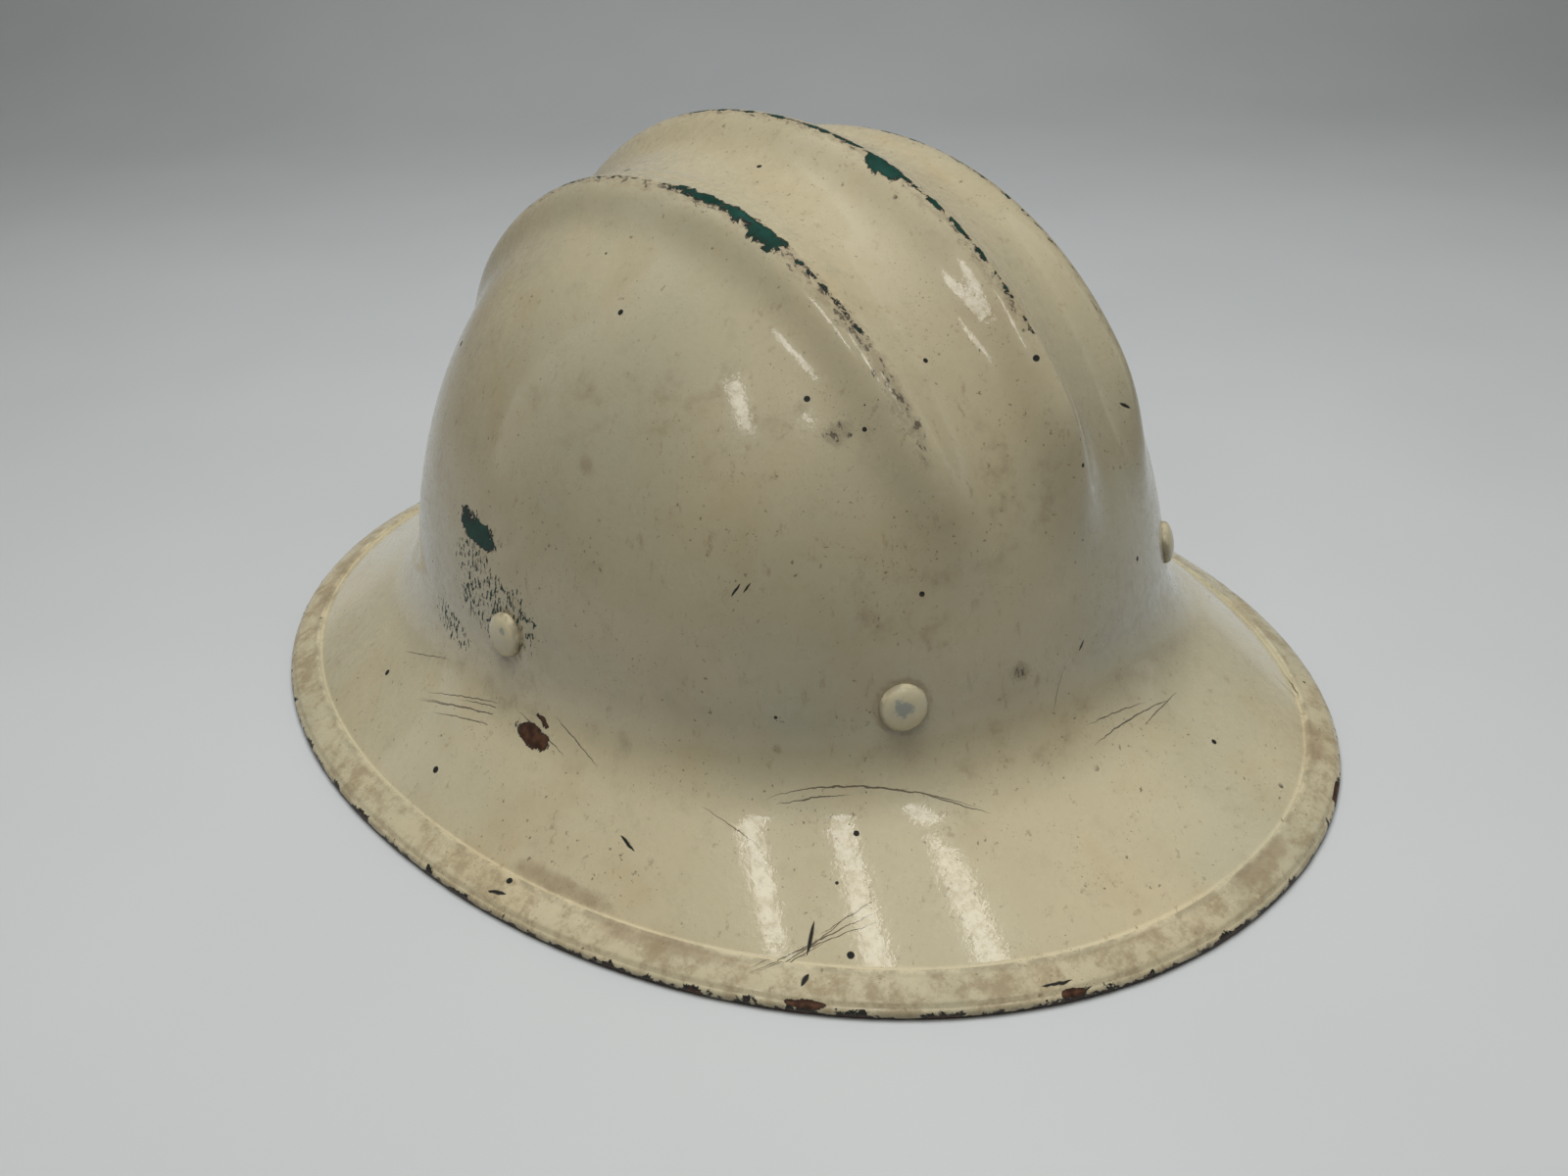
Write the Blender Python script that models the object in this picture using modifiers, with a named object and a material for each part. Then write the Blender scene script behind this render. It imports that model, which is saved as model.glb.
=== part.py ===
"""Full-brim hard hat: a ribbed laminate shell with a riveted six-tape web cradle inside.

Metres, +Z up, and -Y is the front of the hat. The rim stands on the plane Z = 0, and
the origin is the middle of the rim on that plane. The nape buckle is drawn closed.
"""

from math import asin, atan2, cos, degrees, hypot, pi, radians, sin

import bmesh
import bpy
import numpy as np
from mathutils import Matrix, Vector

# Rim and brim
RIM_HALF_WIDTH = 0.1337
RIM_HALF_LENGTH = 0.1650
RIM_POWER = 2.09
BAND_WIDTH = 0.0093
BAND_STEP = 0.0008
BAND_FOOT_Z = 0.0056
RIM_EDGE_Z = 0.0028
RIM_CHAMFER = 0.0008
FOOT_WIDTH = 0.0034

# Crown
CROWN_HALF_WIDTH = 0.0984
CROWN_HALF_LENGTH = 0.1100
CROWN_POWER = 2.17
CROWN_Y = -0.0020
CROWN_BASE_Z = 0.0158
CROWN_TOP_Z = 0.1491
CROWN_FALL_POWER = 2.20
CROWN_RISE_POWER = 2.09
WALL = 0.0026
CORNER_Z = 0.0320
FILLET_RISE = 0.0140
FILLET_SHARE = 0.30

# Three ribs from front to back over the crown
RIB_X = 0.0360
RIB_SPREAD = 0.0090
CENTRE_RIB_HEIGHT = 0.0079
SIDE_RIB_HEIGHT = 0.0052
RIB_START_FRONT = 0.36
RIB_START_REAR = 0.44
RIB_RUN = 0.29

# Shell mesh
SHELL_SEGMENTS = 68
CROWN_RINGS = 16

# Crown rivets and their washers
RIVET_Z = 0.0481
RIVET_AZIMUTHS = {
    "front_left": -120, "side_left": -180, "rear_left": 120,
    "front_right": -60, "side_right": 0, "rear_right": 60,
}
RIVET_HEAD_RADIUS = 0.00575
RIVET_HEAD_HEIGHT = 0.0024
RIVET_SHANK_RADIUS = 0.0022
CLINCH_RADIUS = 0.0042
CLINCH_HEIGHT = 0.0011
WASHER_RADIUS = 0.0065
WASHER_THICKNESS = 0.0008

# Web cradle
TAPE_WIDTH = 0.0190
TAPE_THICKNESS = 0.0013
TAPE_STANDOFF = 0.0005
TAPE_TOP_Z = 0.0560
TAPE_TURN_Z = 0.0285
TAPE_TURN_RADIUS = 0.0021
TAPE_COLUMNS = 4
STRAND_ROWS = 11
LACE_RADIUS = 0.0015
EYE_RADIUS = 0.00245
LACE_APOTHEM = 0.0240
LACE_CORNER = 0.0040
LACE_Z = 0.1140
STRAND_LOW_Z = 0.0850

# Headband and sweatband
HEAD_HALF_WIDTH = 0.0750
HEAD_HALF_LENGTH = 0.0950
SWEATBAND_THICKNESS = 0.0018
BAND_SPACE = 0.0012
HEADBAND_THICKNESS = 0.0016
HEADBAND_LOW_Z = 0.0080
HEADBAND_HIGH_Z = 0.0420
SWEATBAND_LOW_Z = 0.0070
SWEATBAND_HIGH_Z = 0.0400
BAND_POINTS = 64

# Nape strap and buckle, laid out along the headband (s, from the rear middle
# towards +X) and out from its face (d)
STRAP_Z = 0.0170
STRAP_LEVEL = Matrix.Translation((0, 0, STRAP_Z))
STRAP_WIDTH = 0.0120
STRAP_THICKNESS = 0.0013
CHAPE_THICKNESS = 0.0010
HEADBAND_GAP = (-0.0140, 0.0085)
HEEL_BAR = (0.0090, 0.00265)
FAR_BAR = (-0.0110, 0.0030)
BUCKLE_WIRE = 0.0010
BUCKLE_HALF_HEIGHT = 0.0082
BUCKLE_CORNER = 0.0016
BAR_CLEARANCE = 0.00025
PRONG_THICKNESS = 0.0014
PRONG_WIDTH = 0.0022
PRONG_SLOT = (-0.0006, 0.0103)
PRONG_SLOT_HEIGHT = 0.0034
STRAP_HOLES = (0.0150, 0.0215)
STRAP_HOLE_RADIUS = 0.0015
STRAP_END_S = 0.0290
KEEPER_S = 0.0250
KEEPER_LENGTH = 0.0050
KEEPER_WALL = 0.0008
STRAP_RIVETS = {"left_inner": -0.0310, "left_outer": -0.0380,
                "right_inner": 0.0350, "right_outer": 0.0410}
SMALL_HEAD_RADIUS = 0.0026
SMALL_HEAD_HEIGHT = 0.0009
SMALL_SHANK_RADIUS = 0.0011
SMALL_CLINCH_RADIUS = 0.0019
SMALL_CLINCH_HEIGHT = 0.0006

# Space kept between pieces that touch
GAP = 0.0003

# Finishes: colour, roughness, metallic
CREAM_PAINT = ((0.62, 0.58, 0.43), 0.35, 0.0)
STEEL = ((0.52, 0.50, 0.46), 0.38, 1.0)
BRASS = ((0.56, 0.42, 0.20), 0.40, 1.0)
COTTON_WEB = ((0.50, 0.43, 0.29), 0.85, 0.0)
LACE_COTTON = ((0.58, 0.53, 0.42), 0.80, 0.0)
BLACK_FIBRE = ((0.055, 0.045, 0.038), 0.60, 0.0)
TAN_LEATHER = ((0.30, 0.15, 0.065), 0.55, 0.0)
BROWN_LEATHER = ((0.16, 0.075, 0.035), 0.55, 0.0)


# ---------------------------------------------------------------- scene and objects


def clear_scene():
    for obj in list(bpy.data.objects):
        bpy.data.objects.remove(obj, do_unlink=True)


def new_collection(name):
    collection = bpy.data.collections.new(name)
    bpy.context.scene.collection.children.link(collection)
    return collection


def give_finish(obj, finish):
    """A Principled material of the object's own."""
    colour, roughness, metallic = finish
    material = bpy.data.materials.new(obj.name + "_finish")
    material.use_nodes = True
    shader = material.node_tree.nodes["Principled BSDF"]
    shader.inputs["Base Color"].default_value = (*colour, 1)
    shader.inputs["Roughness"].default_value = roughness
    shader.inputs["Metallic"].default_value = metallic
    material.diffuse_color = (*colour, 1)
    obj.data.materials.clear()
    obj.data.materials.append(material)


def add_part(name, mesh, finish, smooth_angle=35):
    obj = bpy.data.objects.new(name, mesh)
    hat.objects.link(obj)
    mesh.shade_smooth()
    mesh.set_sharp_from_angle(angle=radians(smooth_angle))
    give_finish(obj, finish)
    return obj


def mesh_from_curve(name, curve, matrix):
    """The curve's welded mesh in world space."""
    guide = bpy.data.objects.new(name + "_guide", curve)
    hat.objects.link(guide)
    guide.matrix_world = matrix
    bpy.context.view_layer.update()
    evaluated = guide.evaluated_get(bpy.context.evaluated_depsgraph_get())
    mesh = bpy.data.meshes.new_from_object(evaluated)
    mesh.transform(matrix)
    bpy.data.objects.remove(guide, do_unlink=True)
    work = bmesh.new()
    work.from_mesh(mesh)
    bmesh.ops.remove_doubles(work, verts=work.verts, dist=1e-6)
    bmesh.ops.recalc_face_normals(work, faces=work.faces)
    work.to_mesh(mesh)
    work.free()
    mesh.name = name
    return mesh


def plate_mesh(name, outlines, half_thickness, matrix):
    """A flat plate: closed outlines (the second and later ones are holes), extruded both ways."""
    curve = bpy.data.curves.new(name, "CURVE")
    curve.dimensions = "2D"
    curve.fill_mode = "BOTH"
    curve.extrude = half_thickness
    for outline in outlines:
        spline = curve.splines.new("POLY")
        spline.points.add(len(outline) - 1)
        for point, (x, y) in zip(spline.points, outline):
            point.co = (x, y, 0, 1)
        spline.use_cyclic_u = True
    return mesh_from_curve(name, curve, matrix)


def loop_mesh(name, points, radius):
    """A round wire bent into a closed loop."""
    curve = bpy.data.curves.new(name, "CURVE")
    curve.dimensions = "3D"
    curve.bevel_depth = radius
    curve.bevel_resolution = 2
    spline = curve.splines.new("POLY")
    spline.points.add(len(points) - 1)
    for point, place in zip(spline.points, points):
        point.co = (*place, 1)
    spline.use_cyclic_u = True
    return mesh_from_curve(name, curve, Matrix())


def turned_mesh(name, profile, steps, closed=False):
    """The profile, given from the top down its outer side, turned about Z."""
    mesh = bpy.data.meshes.new(name)
    edges = [(i, i + 1) for i in range(len(profile) - 1)]
    if closed:
        edges.append((len(profile) - 1, 0))
    mesh.from_pydata([(r, 0, z) for r, z in profile], edges, [])
    blank = bpy.data.objects.new(name + "_blank", mesh)
    hat.objects.link(blank)
    screw = blank.modifiers.new("turn", "SCREW")
    screw.axis = "Z"
    screw.steps = steps
    screw.render_steps = steps
    screw.use_merge_vertices = True
    screw.merge_threshold = 1e-6
    bpy.context.view_layer.update()
    evaluated = blank.evaluated_get(bpy.context.evaluated_depsgraph_get())
    turned = bpy.data.meshes.new_from_object(evaluated)
    bpy.data.objects.remove(blank, do_unlink=True)
    turned.name = name
    return turned


def drill(obj, matrix, radius, depth):
    """Cuts a round hole: matrix gives its middle, with Z along it."""
    mesh = bpy.data.meshes.new(obj.name + "_drill")
    work = bmesh.new()
    bmesh.ops.create_cone(work, cap_ends=True, segments=16, radius1=radius, radius2=radius, depth=depth)
    work.to_mesh(mesh)
    work.free()
    cut(obj, mesh, matrix)


def cut_slot(obj, matrix, size):
    """Cuts a box-shaped slot: matrix gives its middle."""
    mesh = bpy.data.meshes.new(obj.name + "_slot")
    work = bmesh.new()
    bmesh.ops.create_cube(work, size=1, matrix=Matrix.Diagonal((*size, 1)))
    work.to_mesh(mesh)
    work.free()
    cut(obj, mesh, matrix)


def cut(obj, mesh, matrix):
    cutter = bpy.data.objects.new(mesh.name, mesh)
    cutters.objects.link(cutter)
    cutter.matrix_world = matrix
    cutter.hide_render = True
    cutter.display_type = "WIRE"
    boolean = obj.modifiers.new("cut", "BOOLEAN")
    boolean.operation = "DIFFERENCE"
    boolean.solver = "EXACT"
    boolean.object = cutter


def frame_matrix(origin, x_axis, y_axis):
    """A right-handed frame from two perpendicular unit directions."""
    z_axis = Vector(x_axis).cross(Vector(y_axis))
    turn = Matrix((x_axis, y_axis, z_axis)).transposed().to_4x4()
    return Matrix.Translation(origin) @ turn


def arc(centre, radius, start, end, count):
    """Points on a circle between two angles in degrees, both ends included."""
    angles = [radians(start + (end - start) * i / (count - 1)) for i in range(count)]
    return [(centre[0] + radius * cos(a), centre[1] + radius * sin(a)) for a in angles]


def smooth_step(value):
    value = np.clip(value, 0.0, 1.0)
    return value * value * (3 - 2 * value)


# ---------------------------------------------------------------- shell


def oval_ring(half_width, half_length, power, z, middle_y=0.0):
    """Points round a superellipse, counter-clockwise from +X."""
    turn = np.arange(SHELL_SEGMENTS) * 2 * pi / SHELL_SEGMENTS
    x = half_width * np.sign(np.cos(turn)) * np.abs(np.cos(turn)) ** (2 / power)
    y = half_length * np.sign(np.sin(turn)) * np.abs(np.sin(turn)) ** (2 / power)
    return np.stack([x, y + middle_y, np.full_like(x, z)], axis=1)


def crown_share(z):
    """How wide the crown is at a height, as a share of its base."""
    rise = (z - CROWN_BASE_Z) / (CROWN_TOP_Z - CROWN_BASE_Z)
    return (1 - rise**CROWN_RISE_POWER) ** (1 / CROWN_FALL_POWER)


def crown_ring(z):
    share = crown_share(z)
    return oval_ring(CROWN_HALF_WIDTH * share, CROWN_HALF_LENGTH * share, CROWN_POWER, z, CROWN_Y)


def rim_ring(inset, z):
    return oval_ring(RIM_HALF_WIDTH - inset, RIM_HALF_LENGTH - inset, RIM_POWER, z)


def skin_rings():
    """The smooth outer surface from near the crown's top to the foot of the rim band."""
    fillet_top = CORNER_Z + FILLET_RISE
    height = CROWN_TOP_Z - CROWN_BASE_Z
    last_fall = np.arccos(((fillet_top - CROWN_BASE_Z) / height) ** (CROWN_RISE_POWER / 2))
    rings = []
    for step in range(1, CROWN_RINGS + 1):
        rise = np.cos(last_fall * step / CROWN_RINGS) ** (2 / CROWN_RISE_POWER)
        rings.append(crown_ring(CROWN_BASE_Z + height * rise))
    corner = crown_ring(CORNER_Z)
    foot = rim_ring(BAND_WIDTH, BAND_FOOT_Z)
    brim_start = corner + FILLET_SHARE * (foot - corner)
    wall_end = rings[-1]
    for t in (0.25, 0.5, 0.75, 1.0):
        rings.append((1 - t) ** 2 * wall_end + 2 * t * (1 - t) * corner + t * t * brim_start)
    for t in (1 / 3, 2 / 3, 1.0):
        rings.append(brim_start + t * (foot - brim_start))
    return np.array(rings)


def surface_normals(rings):
    """Unit normals that point out of the hat, for a grid of rings by segments."""
    down = np.gradient(rings, axis=0)
    around = np.roll(rings, -1, axis=1) - np.roll(rings, 1, axis=1)
    normals = np.cross(down, around)
    return normals / np.linalg.norm(normals, axis=2, keepdims=True)


def rib_height(points):
    x, y, z = points[..., 0], points[..., 1], points[..., 2]
    rise = (z - CROWN_BASE_Z) / (CROWN_TOP_Z - CROWN_BASE_Z)
    front = smooth_step(0.5 - (y - CROWN_Y) / CROWN_HALF_LENGTH)
    start = RIB_START_REAR + (RIB_START_FRONT - RIB_START_REAR) * front
    height = np.zeros_like(x)
    for rib_x, full in ((-RIB_X, SIDE_RIB_HEIGHT), (0.0, CENTRE_RIB_HEIGHT), (RIB_X, SIDE_RIB_HEIGHT)):
        height += full * np.exp(-(((x - rib_x) / RIB_SPREAD) ** 2))
    return height * smooth_step((rise - start) / RIB_RUN)


def make_shell():
    skin = skin_rings()
    skin = skin + surface_normals(skin) * rib_height(skin)[..., None]
    lining = skin - surface_normals(skin) * WALL
    band_top_z = BAND_FOOT_Z + BAND_STEP
    band_slope = (band_top_z - RIM_EDGE_Z) / BAND_WIDTH
    shoulder = BAND_WIDTH - BAND_STEP
    rim = [
        rim_ring(shoulder, band_top_z),
        rim_ring(shoulder / 2, RIM_EDGE_Z + band_slope * shoulder * 0.6),
        rim_ring(RIM_CHAMFER, RIM_EDGE_Z + band_slope * RIM_CHAMFER),
        rim_ring(0, RIM_EDGE_Z - RIM_CHAMFER),
        rim_ring(0, RIM_CHAMFER),
        rim_ring(RIM_CHAMFER, 0),
        rim_ring(RIM_CHAMFER + FOOT_WIDTH, 0),
    ]
    rings = [*skin, *rim, *lining[::-1]]
    top = Vector((0, CROWN_Y, CROWN_TOP_Z + CENTRE_RIB_HEIGHT))
    work = bmesh.new()
    loops = [[work.verts.new(point) for point in ring] for ring in rings]
    for upper, lower in zip(loops, loops[1:]):
        for i in range(SHELL_SEGMENTS):
            j = (i + 1) % SHELL_SEGMENTS
            work.faces.new((upper[i], lower[i], lower[j], upper[j]))
    outer_pole = work.verts.new(top)
    inner_pole = work.verts.new(top - Vector((0, 0, WALL)))
    for i in range(SHELL_SEGMENTS):
        j = (i + 1) % SHELL_SEGMENTS
        work.faces.new((outer_pole, loops[0][i], loops[0][j]))
        work.faces.new((inner_pole, loops[-1][j], loops[-1][i]))
    bmesh.ops.recalc_face_normals(work, faces=work.faces)
    mesh = bpy.data.meshes.new("shell")
    work.to_mesh(mesh)
    work.free()
    shell = add_part("shell", mesh, CREAM_PAINT)
    for azimuth in RIVET_AZIMUTHS.values():
        drill(shell, rivet_frame(azimuth), RIVET_SHANK_RADIUS + GAP, 4 * WALL)


# ---------------------------------------------------------------- crown rivets


def crown_point(azimuth, z):
    """The point of the crown wall in a direction seen from above, at a height."""
    share = crown_share(z)
    a = radians(azimuth)
    across = abs(cos(a)) / (CROWN_HALF_WIDTH * share)
    along = abs(sin(a)) / (CROWN_HALF_LENGTH * share)
    r = (across**CROWN_POWER + along**CROWN_POWER) ** (-1 / CROWN_POWER)
    return Vector((r * cos(a), CROWN_Y + r * sin(a), z))


def rivet_frame(azimuth):
    """A frame on the crown's surface with its Z along the outward normal."""
    place = crown_point(azimuth, RIVET_Z)
    around = crown_point(azimuth + 1, RIVET_Z) - crown_point(azimuth - 1, RIVET_Z)
    up = crown_point(azimuth, RIVET_Z + 0.001) - crown_point(azimuth, RIVET_Z - 0.001)
    around.normalize()
    up = (up - around * up.dot(around)).normalized()
    return frame_matrix(place, around, up)


def make_rivets():
    """Each rivet holds a tape to the wall, with a washer under its clinched end."""
    tape_face = WALL + TAPE_STANDOFF + TAPE_THICKNESS
    washer_top = -(tape_face + 2 * GAP)
    clinch_top = washer_top - WASHER_THICKNESS - GAP
    clinch_low = clinch_top - CLINCH_HEIGHT
    dome_sweep = degrees(2 * atan2(RIVET_HEAD_HEIGHT, RIVET_HEAD_RADIUS))
    dome_radius = RIVET_HEAD_RADIUS / sin(radians(dome_sweep))
    dome_middle = GAP + RIVET_HEAD_HEIGHT - dome_radius
    dome = arc((0, dome_middle), dome_radius, 90, 90 - dome_sweep, 5)
    profile = [
        *dome,
        (RIVET_SHANK_RADIUS, GAP),
        (RIVET_SHANK_RADIUS, clinch_top),
        (CLINCH_RADIUS, clinch_top),
        (CLINCH_RADIUS * 0.8, clinch_low),
        (0, clinch_low),
    ]
    washer_hole = RIVET_SHANK_RADIUS + GAP
    washer = [
        (WASHER_RADIUS, washer_top),
        (WASHER_RADIUS, washer_top - WASHER_THICKNESS),
        (washer_hole, washer_top - WASHER_THICKNESS),
        (washer_hole, washer_top),
    ]
    rivet_mesh = turned_mesh("crown_rivet", profile, 16)
    washer_mesh = turned_mesh("crown_washer", washer, 16, closed=True)
    for place, azimuth in RIVET_AZIMUTHS.items():
        frame = rivet_frame(azimuth)
        rivet = add_part("rivet_" + place, rivet_mesh.copy(), CREAM_PAINT)
        rivet.matrix_world = frame
        ring = add_part("washer_" + place, washer_mesh.copy(), STEEL)
        ring.matrix_world = frame


# ---------------------------------------------------------------- web cradle


def headband_half_sizes():
    grow = SWEATBAND_THICKNESS + BAND_SPACE + HEADBAND_THICKNESS
    return HEAD_HALF_WIDTH + grow, HEAD_HALF_LENGTH + grow


def over_head_place(azimuth, across, r, z):
    """A point of a flat strip that runs straight out from the crown's axis."""
    a = radians(azimuth)
    return Vector((r * cos(a) - across * sin(a), CROWN_Y + r * sin(a) + across * cos(a), z))


def on_band_place(azimuth, across, d, z):
    """A point at a distance out from the headband's face."""
    half_width, half_length = headband_half_sizes()
    middle = atan2(cos(radians(azimuth)) / half_width, sin(radians(azimuth)) / half_length)
    a = middle - across / hypot(half_width * cos(middle), half_length * sin(middle))
    out = Vector((half_length * sin(a), half_width * cos(a), 0)).normalized()
    return Vector((half_width * sin(a), CROWN_Y + half_length * cos(a), z)) + out * d


def on_wall_place(azimuth, across, d, z):
    """A point at a distance in from the inner face of the crown wall."""
    middle = crown_point(azimuth, z)
    turn = azimuth + degrees(across / hypot(middle.x, middle.y - CROWN_Y))
    around = crown_point(turn + 1, z) - crown_point(turn - 1, z)
    up = crown_point(turn, z + 0.001) - crown_point(turn, z - 0.001)
    return crown_point(turn, z) - around.cross(up).normalized() * (WALL + d)


def crown_strand(azimuth):
    """The line of a tape over the head as (r, z, slope in degrees), from the lace to the headband."""
    clear = TAPE_STANDOFF + TAPE_THICKNESS / 2
    edge = on_band_place(azimuth, 0, clear, 0)
    reach = hypot(edge.x, edge.y - CROWN_Y)
    first = asin(LACE_APOTHEM / reach)
    rise = (LACE_Z + EYE_RADIUS - HEADBAND_HIGH_Z) / cos(first)
    strand = []
    for step in range(STRAND_ROWS):
        a = first + (pi / 2 - first) * step / (STRAND_ROWS - 1)
        slope = degrees(atan2(-rise * sin(a), reach * cos(a)))
        strand.append((reach * sin(a), HEADBAND_HIGH_Z + rise * cos(a), slope))
    return strand


def tape_rows(azimuth):
    """Rows of a tape from the sewn end, round the lace, over the head, round under the headband's
    turn and up the wall. A row is a list of points across the tape."""
    strand = crown_strand(azimuth)
    slope = strand[0][2]
    lap = []
    for (r, z, lean), share in zip(strand[1:4], (0.75, 0.35, 0.35)):
        below = 2 * EYE_RADIUS * share
        below = max(below, TAPE_THICKNESS + GAP)
        a = radians(lean - 90)
        lap.append((r + below * cos(a), z + below * sin(a)))
    eye = arc((LACE_APOTHEM, LACE_Z), EYE_RADIUS, 270 + slope, 90 + slope, 7)
    across = [TAPE_WIDTH * (i / TAPE_COLUMNS - 0.5) for i in range(TAPE_COLUMNS + 1)]
    clear = TAPE_STANDOFF + TAPE_THICKNESS / 2
    rows = [[over_head_place(azimuth, u, r, z) for u in across] for r, z in lap[::-1] + eye]
    for r, z, _ in strand[1:]:
        share = float(smooth_step((STRAND_LOW_Z - z) / (STRAND_LOW_Z - HEADBAND_HIGH_Z)))
        rows.append([
            over_head_place(azimuth, u, r, z).lerp(on_band_place(azimuth, u, clear, z), share)
            for u in across
        ])
    for d, z in arc((clear + TAPE_TURN_RADIUS, TAPE_TURN_Z), TAPE_TURN_RADIUS, 180, 360, 7):
        rows.append([on_band_place(azimuth, u, d, z) for u in across])
    pad_low_z = TAPE_TURN_Z + 0.45 * (TAPE_TOP_Z - TAPE_TURN_Z)
    for step in range(4):
        z = pad_low_z + (TAPE_TOP_Z - pad_low_z) * step / 3
        rows.append([on_wall_place(azimuth, u, clear, z) for u in across])
    return rows


def make_cradle():
    for place, azimuth in RIVET_AZIMUTHS.items():
        rows = tape_rows(azimuth)
        work = bmesh.new()
        bmesh.ops.create_grid(work, x_segments=len(rows) - 1, y_segments=TAPE_COLUMNS, size=1)
        grid = sorted(work.verts, key=lambda vert: (round(vert.co.x, 5), round(vert.co.y, 5)))
        points = [point for row in rows for point in row]
        for vert, point in zip(grid, points):
            vert.co = point
        mesh = bpy.data.meshes.new("cradle_tape_" + place)
        work.to_mesh(mesh)
        work.free()
        tape = add_part(mesh.name, mesh, COTTON_WEB)
        thicken = tape.modifiers.new("thickness", "SOLIDIFY")
        thicken.thickness = TAPE_THICKNESS
        thicken.offset = 0
        hole = rivet_frame(azimuth) @ Matrix.Translation((0, 0, -WALL - TAPE_STANDOFF))
        drill(tape, hole, RIVET_SHANK_RADIUS + GAP, 0.006)


def make_crown_lace():
    """A lace through the six tape eyes, pulled into a hexagon with round corners."""
    middle = LACE_APOTHEM - LACE_CORNER
    points = []
    for side in range(6):
        heading = 30 + 60 * side
        far = middle / cos(radians(30))
        centre = (far * cos(radians(heading)), CROWN_Y + far * sin(radians(heading)))
        points += [(x, y, LACE_Z) for x, y in arc(centre, LACE_CORNER, heading - 30, heading + 30, 4)]
    add_part("crown_lace", loop_mesh("crown_lace", points, LACE_RADIUS), LACE_COTTON)


# ---------------------------------------------------------------- headband and sweatband


def ellipse_line(half_width, half_length, start, end, count):
    """Points of an ellipse about the crown's axis, by angle from the rear middle towards +X."""
    line = []
    for i in range(count):
        a = start + (end - start) * i / (count - 1)
        line.append((half_width * sin(a), CROWN_Y + half_length * cos(a)))
    return line


def rear_angle(s):
    """The ellipse angle at a distance along the headband's outer face from the rear middle."""
    half_width, half_length = headband_half_sizes()
    steps = 60
    a = 0.0
    for _ in range(steps):
        a += s / steps / hypot(half_width * cos(a), half_length * sin(a))
    return a


def make_headband():
    """A fibre strip round the head, open at the nape where the strap closes it."""
    half_width, half_length = headband_half_sizes()
    start = rear_angle(HEADBAND_GAP[1])
    end = 2 * pi + rear_angle(HEADBAND_GAP[0])
    outer = ellipse_line(half_width, half_length, start, end, BAND_POINTS)
    inner_width = half_width - HEADBAND_THICKNESS
    inner_length = half_length - HEADBAND_THICKNESS
    inner = ellipse_line(inner_width, inner_length, start, end, BAND_POINTS)
    height = HEADBAND_HIGH_Z - HEADBAND_LOW_Z
    level = Matrix.Translation((0, 0, HEADBAND_LOW_Z + height / 2))
    mesh = plate_mesh("headband", [outer + inner[::-1]], height / 2, level)
    headband = add_part("headband", mesh, BLACK_FIBRE)
    for s in STRAP_RIVETS.values():
        drill(headband, strap_frame(s, 0), SMALL_SHANK_RADIUS + GAP, 0.006)


def make_sweatband():
    turn = 2 * pi * (1 - 1 / BAND_POINTS)
    inner = ellipse_line(HEAD_HALF_WIDTH, HEAD_HALF_LENGTH, 0, turn, BAND_POINTS)
    outer = ellipse_line(
        HEAD_HALF_WIDTH + SWEATBAND_THICKNESS, HEAD_HALF_LENGTH + SWEATBAND_THICKNESS, 0, turn, BAND_POINTS
    )
    height = SWEATBAND_HIGH_Z - SWEATBAND_LOW_Z
    level = Matrix.Translation((0, 0, SWEATBAND_LOW_Z + height / 2))
    add_part("sweatband", plate_mesh("sweatband", [outer, inner], height / 2, level), TAN_LEATHER)


# ---------------------------------------------------------------- nape strap and buckle


def strap_point(s, d):
    """The plan position at a distance along the headband and out from its face."""
    half_width, half_length = headband_half_sizes()
    a = rear_angle(s)
    out = Vector((half_length * sin(a), half_width * cos(a))).normalized()
    return half_width * sin(a) + out.x * d, CROWN_Y + half_length * cos(a) + out.y * d


def strap_frame(s, d):
    """A frame at the strap's middle height with its Z straight out from the headband."""
    low = Vector((*strap_point(s, 0), STRAP_Z))
    out = (Vector((*strap_point(s, 0.001), STRAP_Z)) - low).normalized()
    along = Vector((0, 0, 1)).cross(out)
    return frame_matrix(low + out * d, along, (0, 0, 1))


def strap_line(points, spacing=0.0025):
    """A plan line through (s, d) points, rounded off between them and close to the headband's curve."""
    stations = [p[0] for p in points]
    count = max(2, int(abs(stations[-1] - stations[0]) / spacing) + 1)
    line = []
    for i in range(count):
        s = stations[0] + (stations[-1] - stations[0]) * i / (count - 1)
        k = 0
        while k < len(points) - 2 and (s - points[k + 1][0]) * (stations[-1] - stations[0]) > 0:
            k += 1
        (s0, d0), (s1, d1) = points[k], points[k + 1]
        share = float(smooth_step((s - s0) / (s1 - s0)))
        line.append(strap_point(s, d0 + (d1 - d0) * share))
    return line


def offset_line(path, distance):
    """The line moved to its left."""
    moved = []
    for i, point in enumerate(path):
        before = path[max(i - 1, 0)]
        after = path[min(i + 1, len(path) - 1)]
        run = hypot(after[0] - before[0], after[1] - before[1])
        normal = (-(after[1] - before[1]) / run, (after[0] - before[0]) / run)
        moved.append((point[0] + normal[0] * distance, point[1] + normal[1] * distance))
    return moved


def strip_outline(path, thickness):
    """The closed outline of a strip seen on its edge."""
    return offset_line(path, thickness / 2) + offset_line(path, -thickness / 2)[::-1]


def eyed_outline(path, thickness, eye_outer):
    """As strip_outline, for a strip whose first end is a round eye."""
    heading = degrees(atan2(path[1][1] - path[0][1], path[1][0] - path[0][0]))
    mouth = degrees(asin(thickness / 2 / eye_outer))
    eye = arc(path[0], eye_outer, heading + mouth, heading + 360 - mouth, 14)
    left = offset_line(path, thickness / 2)[1:]
    right = offset_line(path, -thickness / 2)[1:]
    return left[::-1] + eye + right


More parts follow.
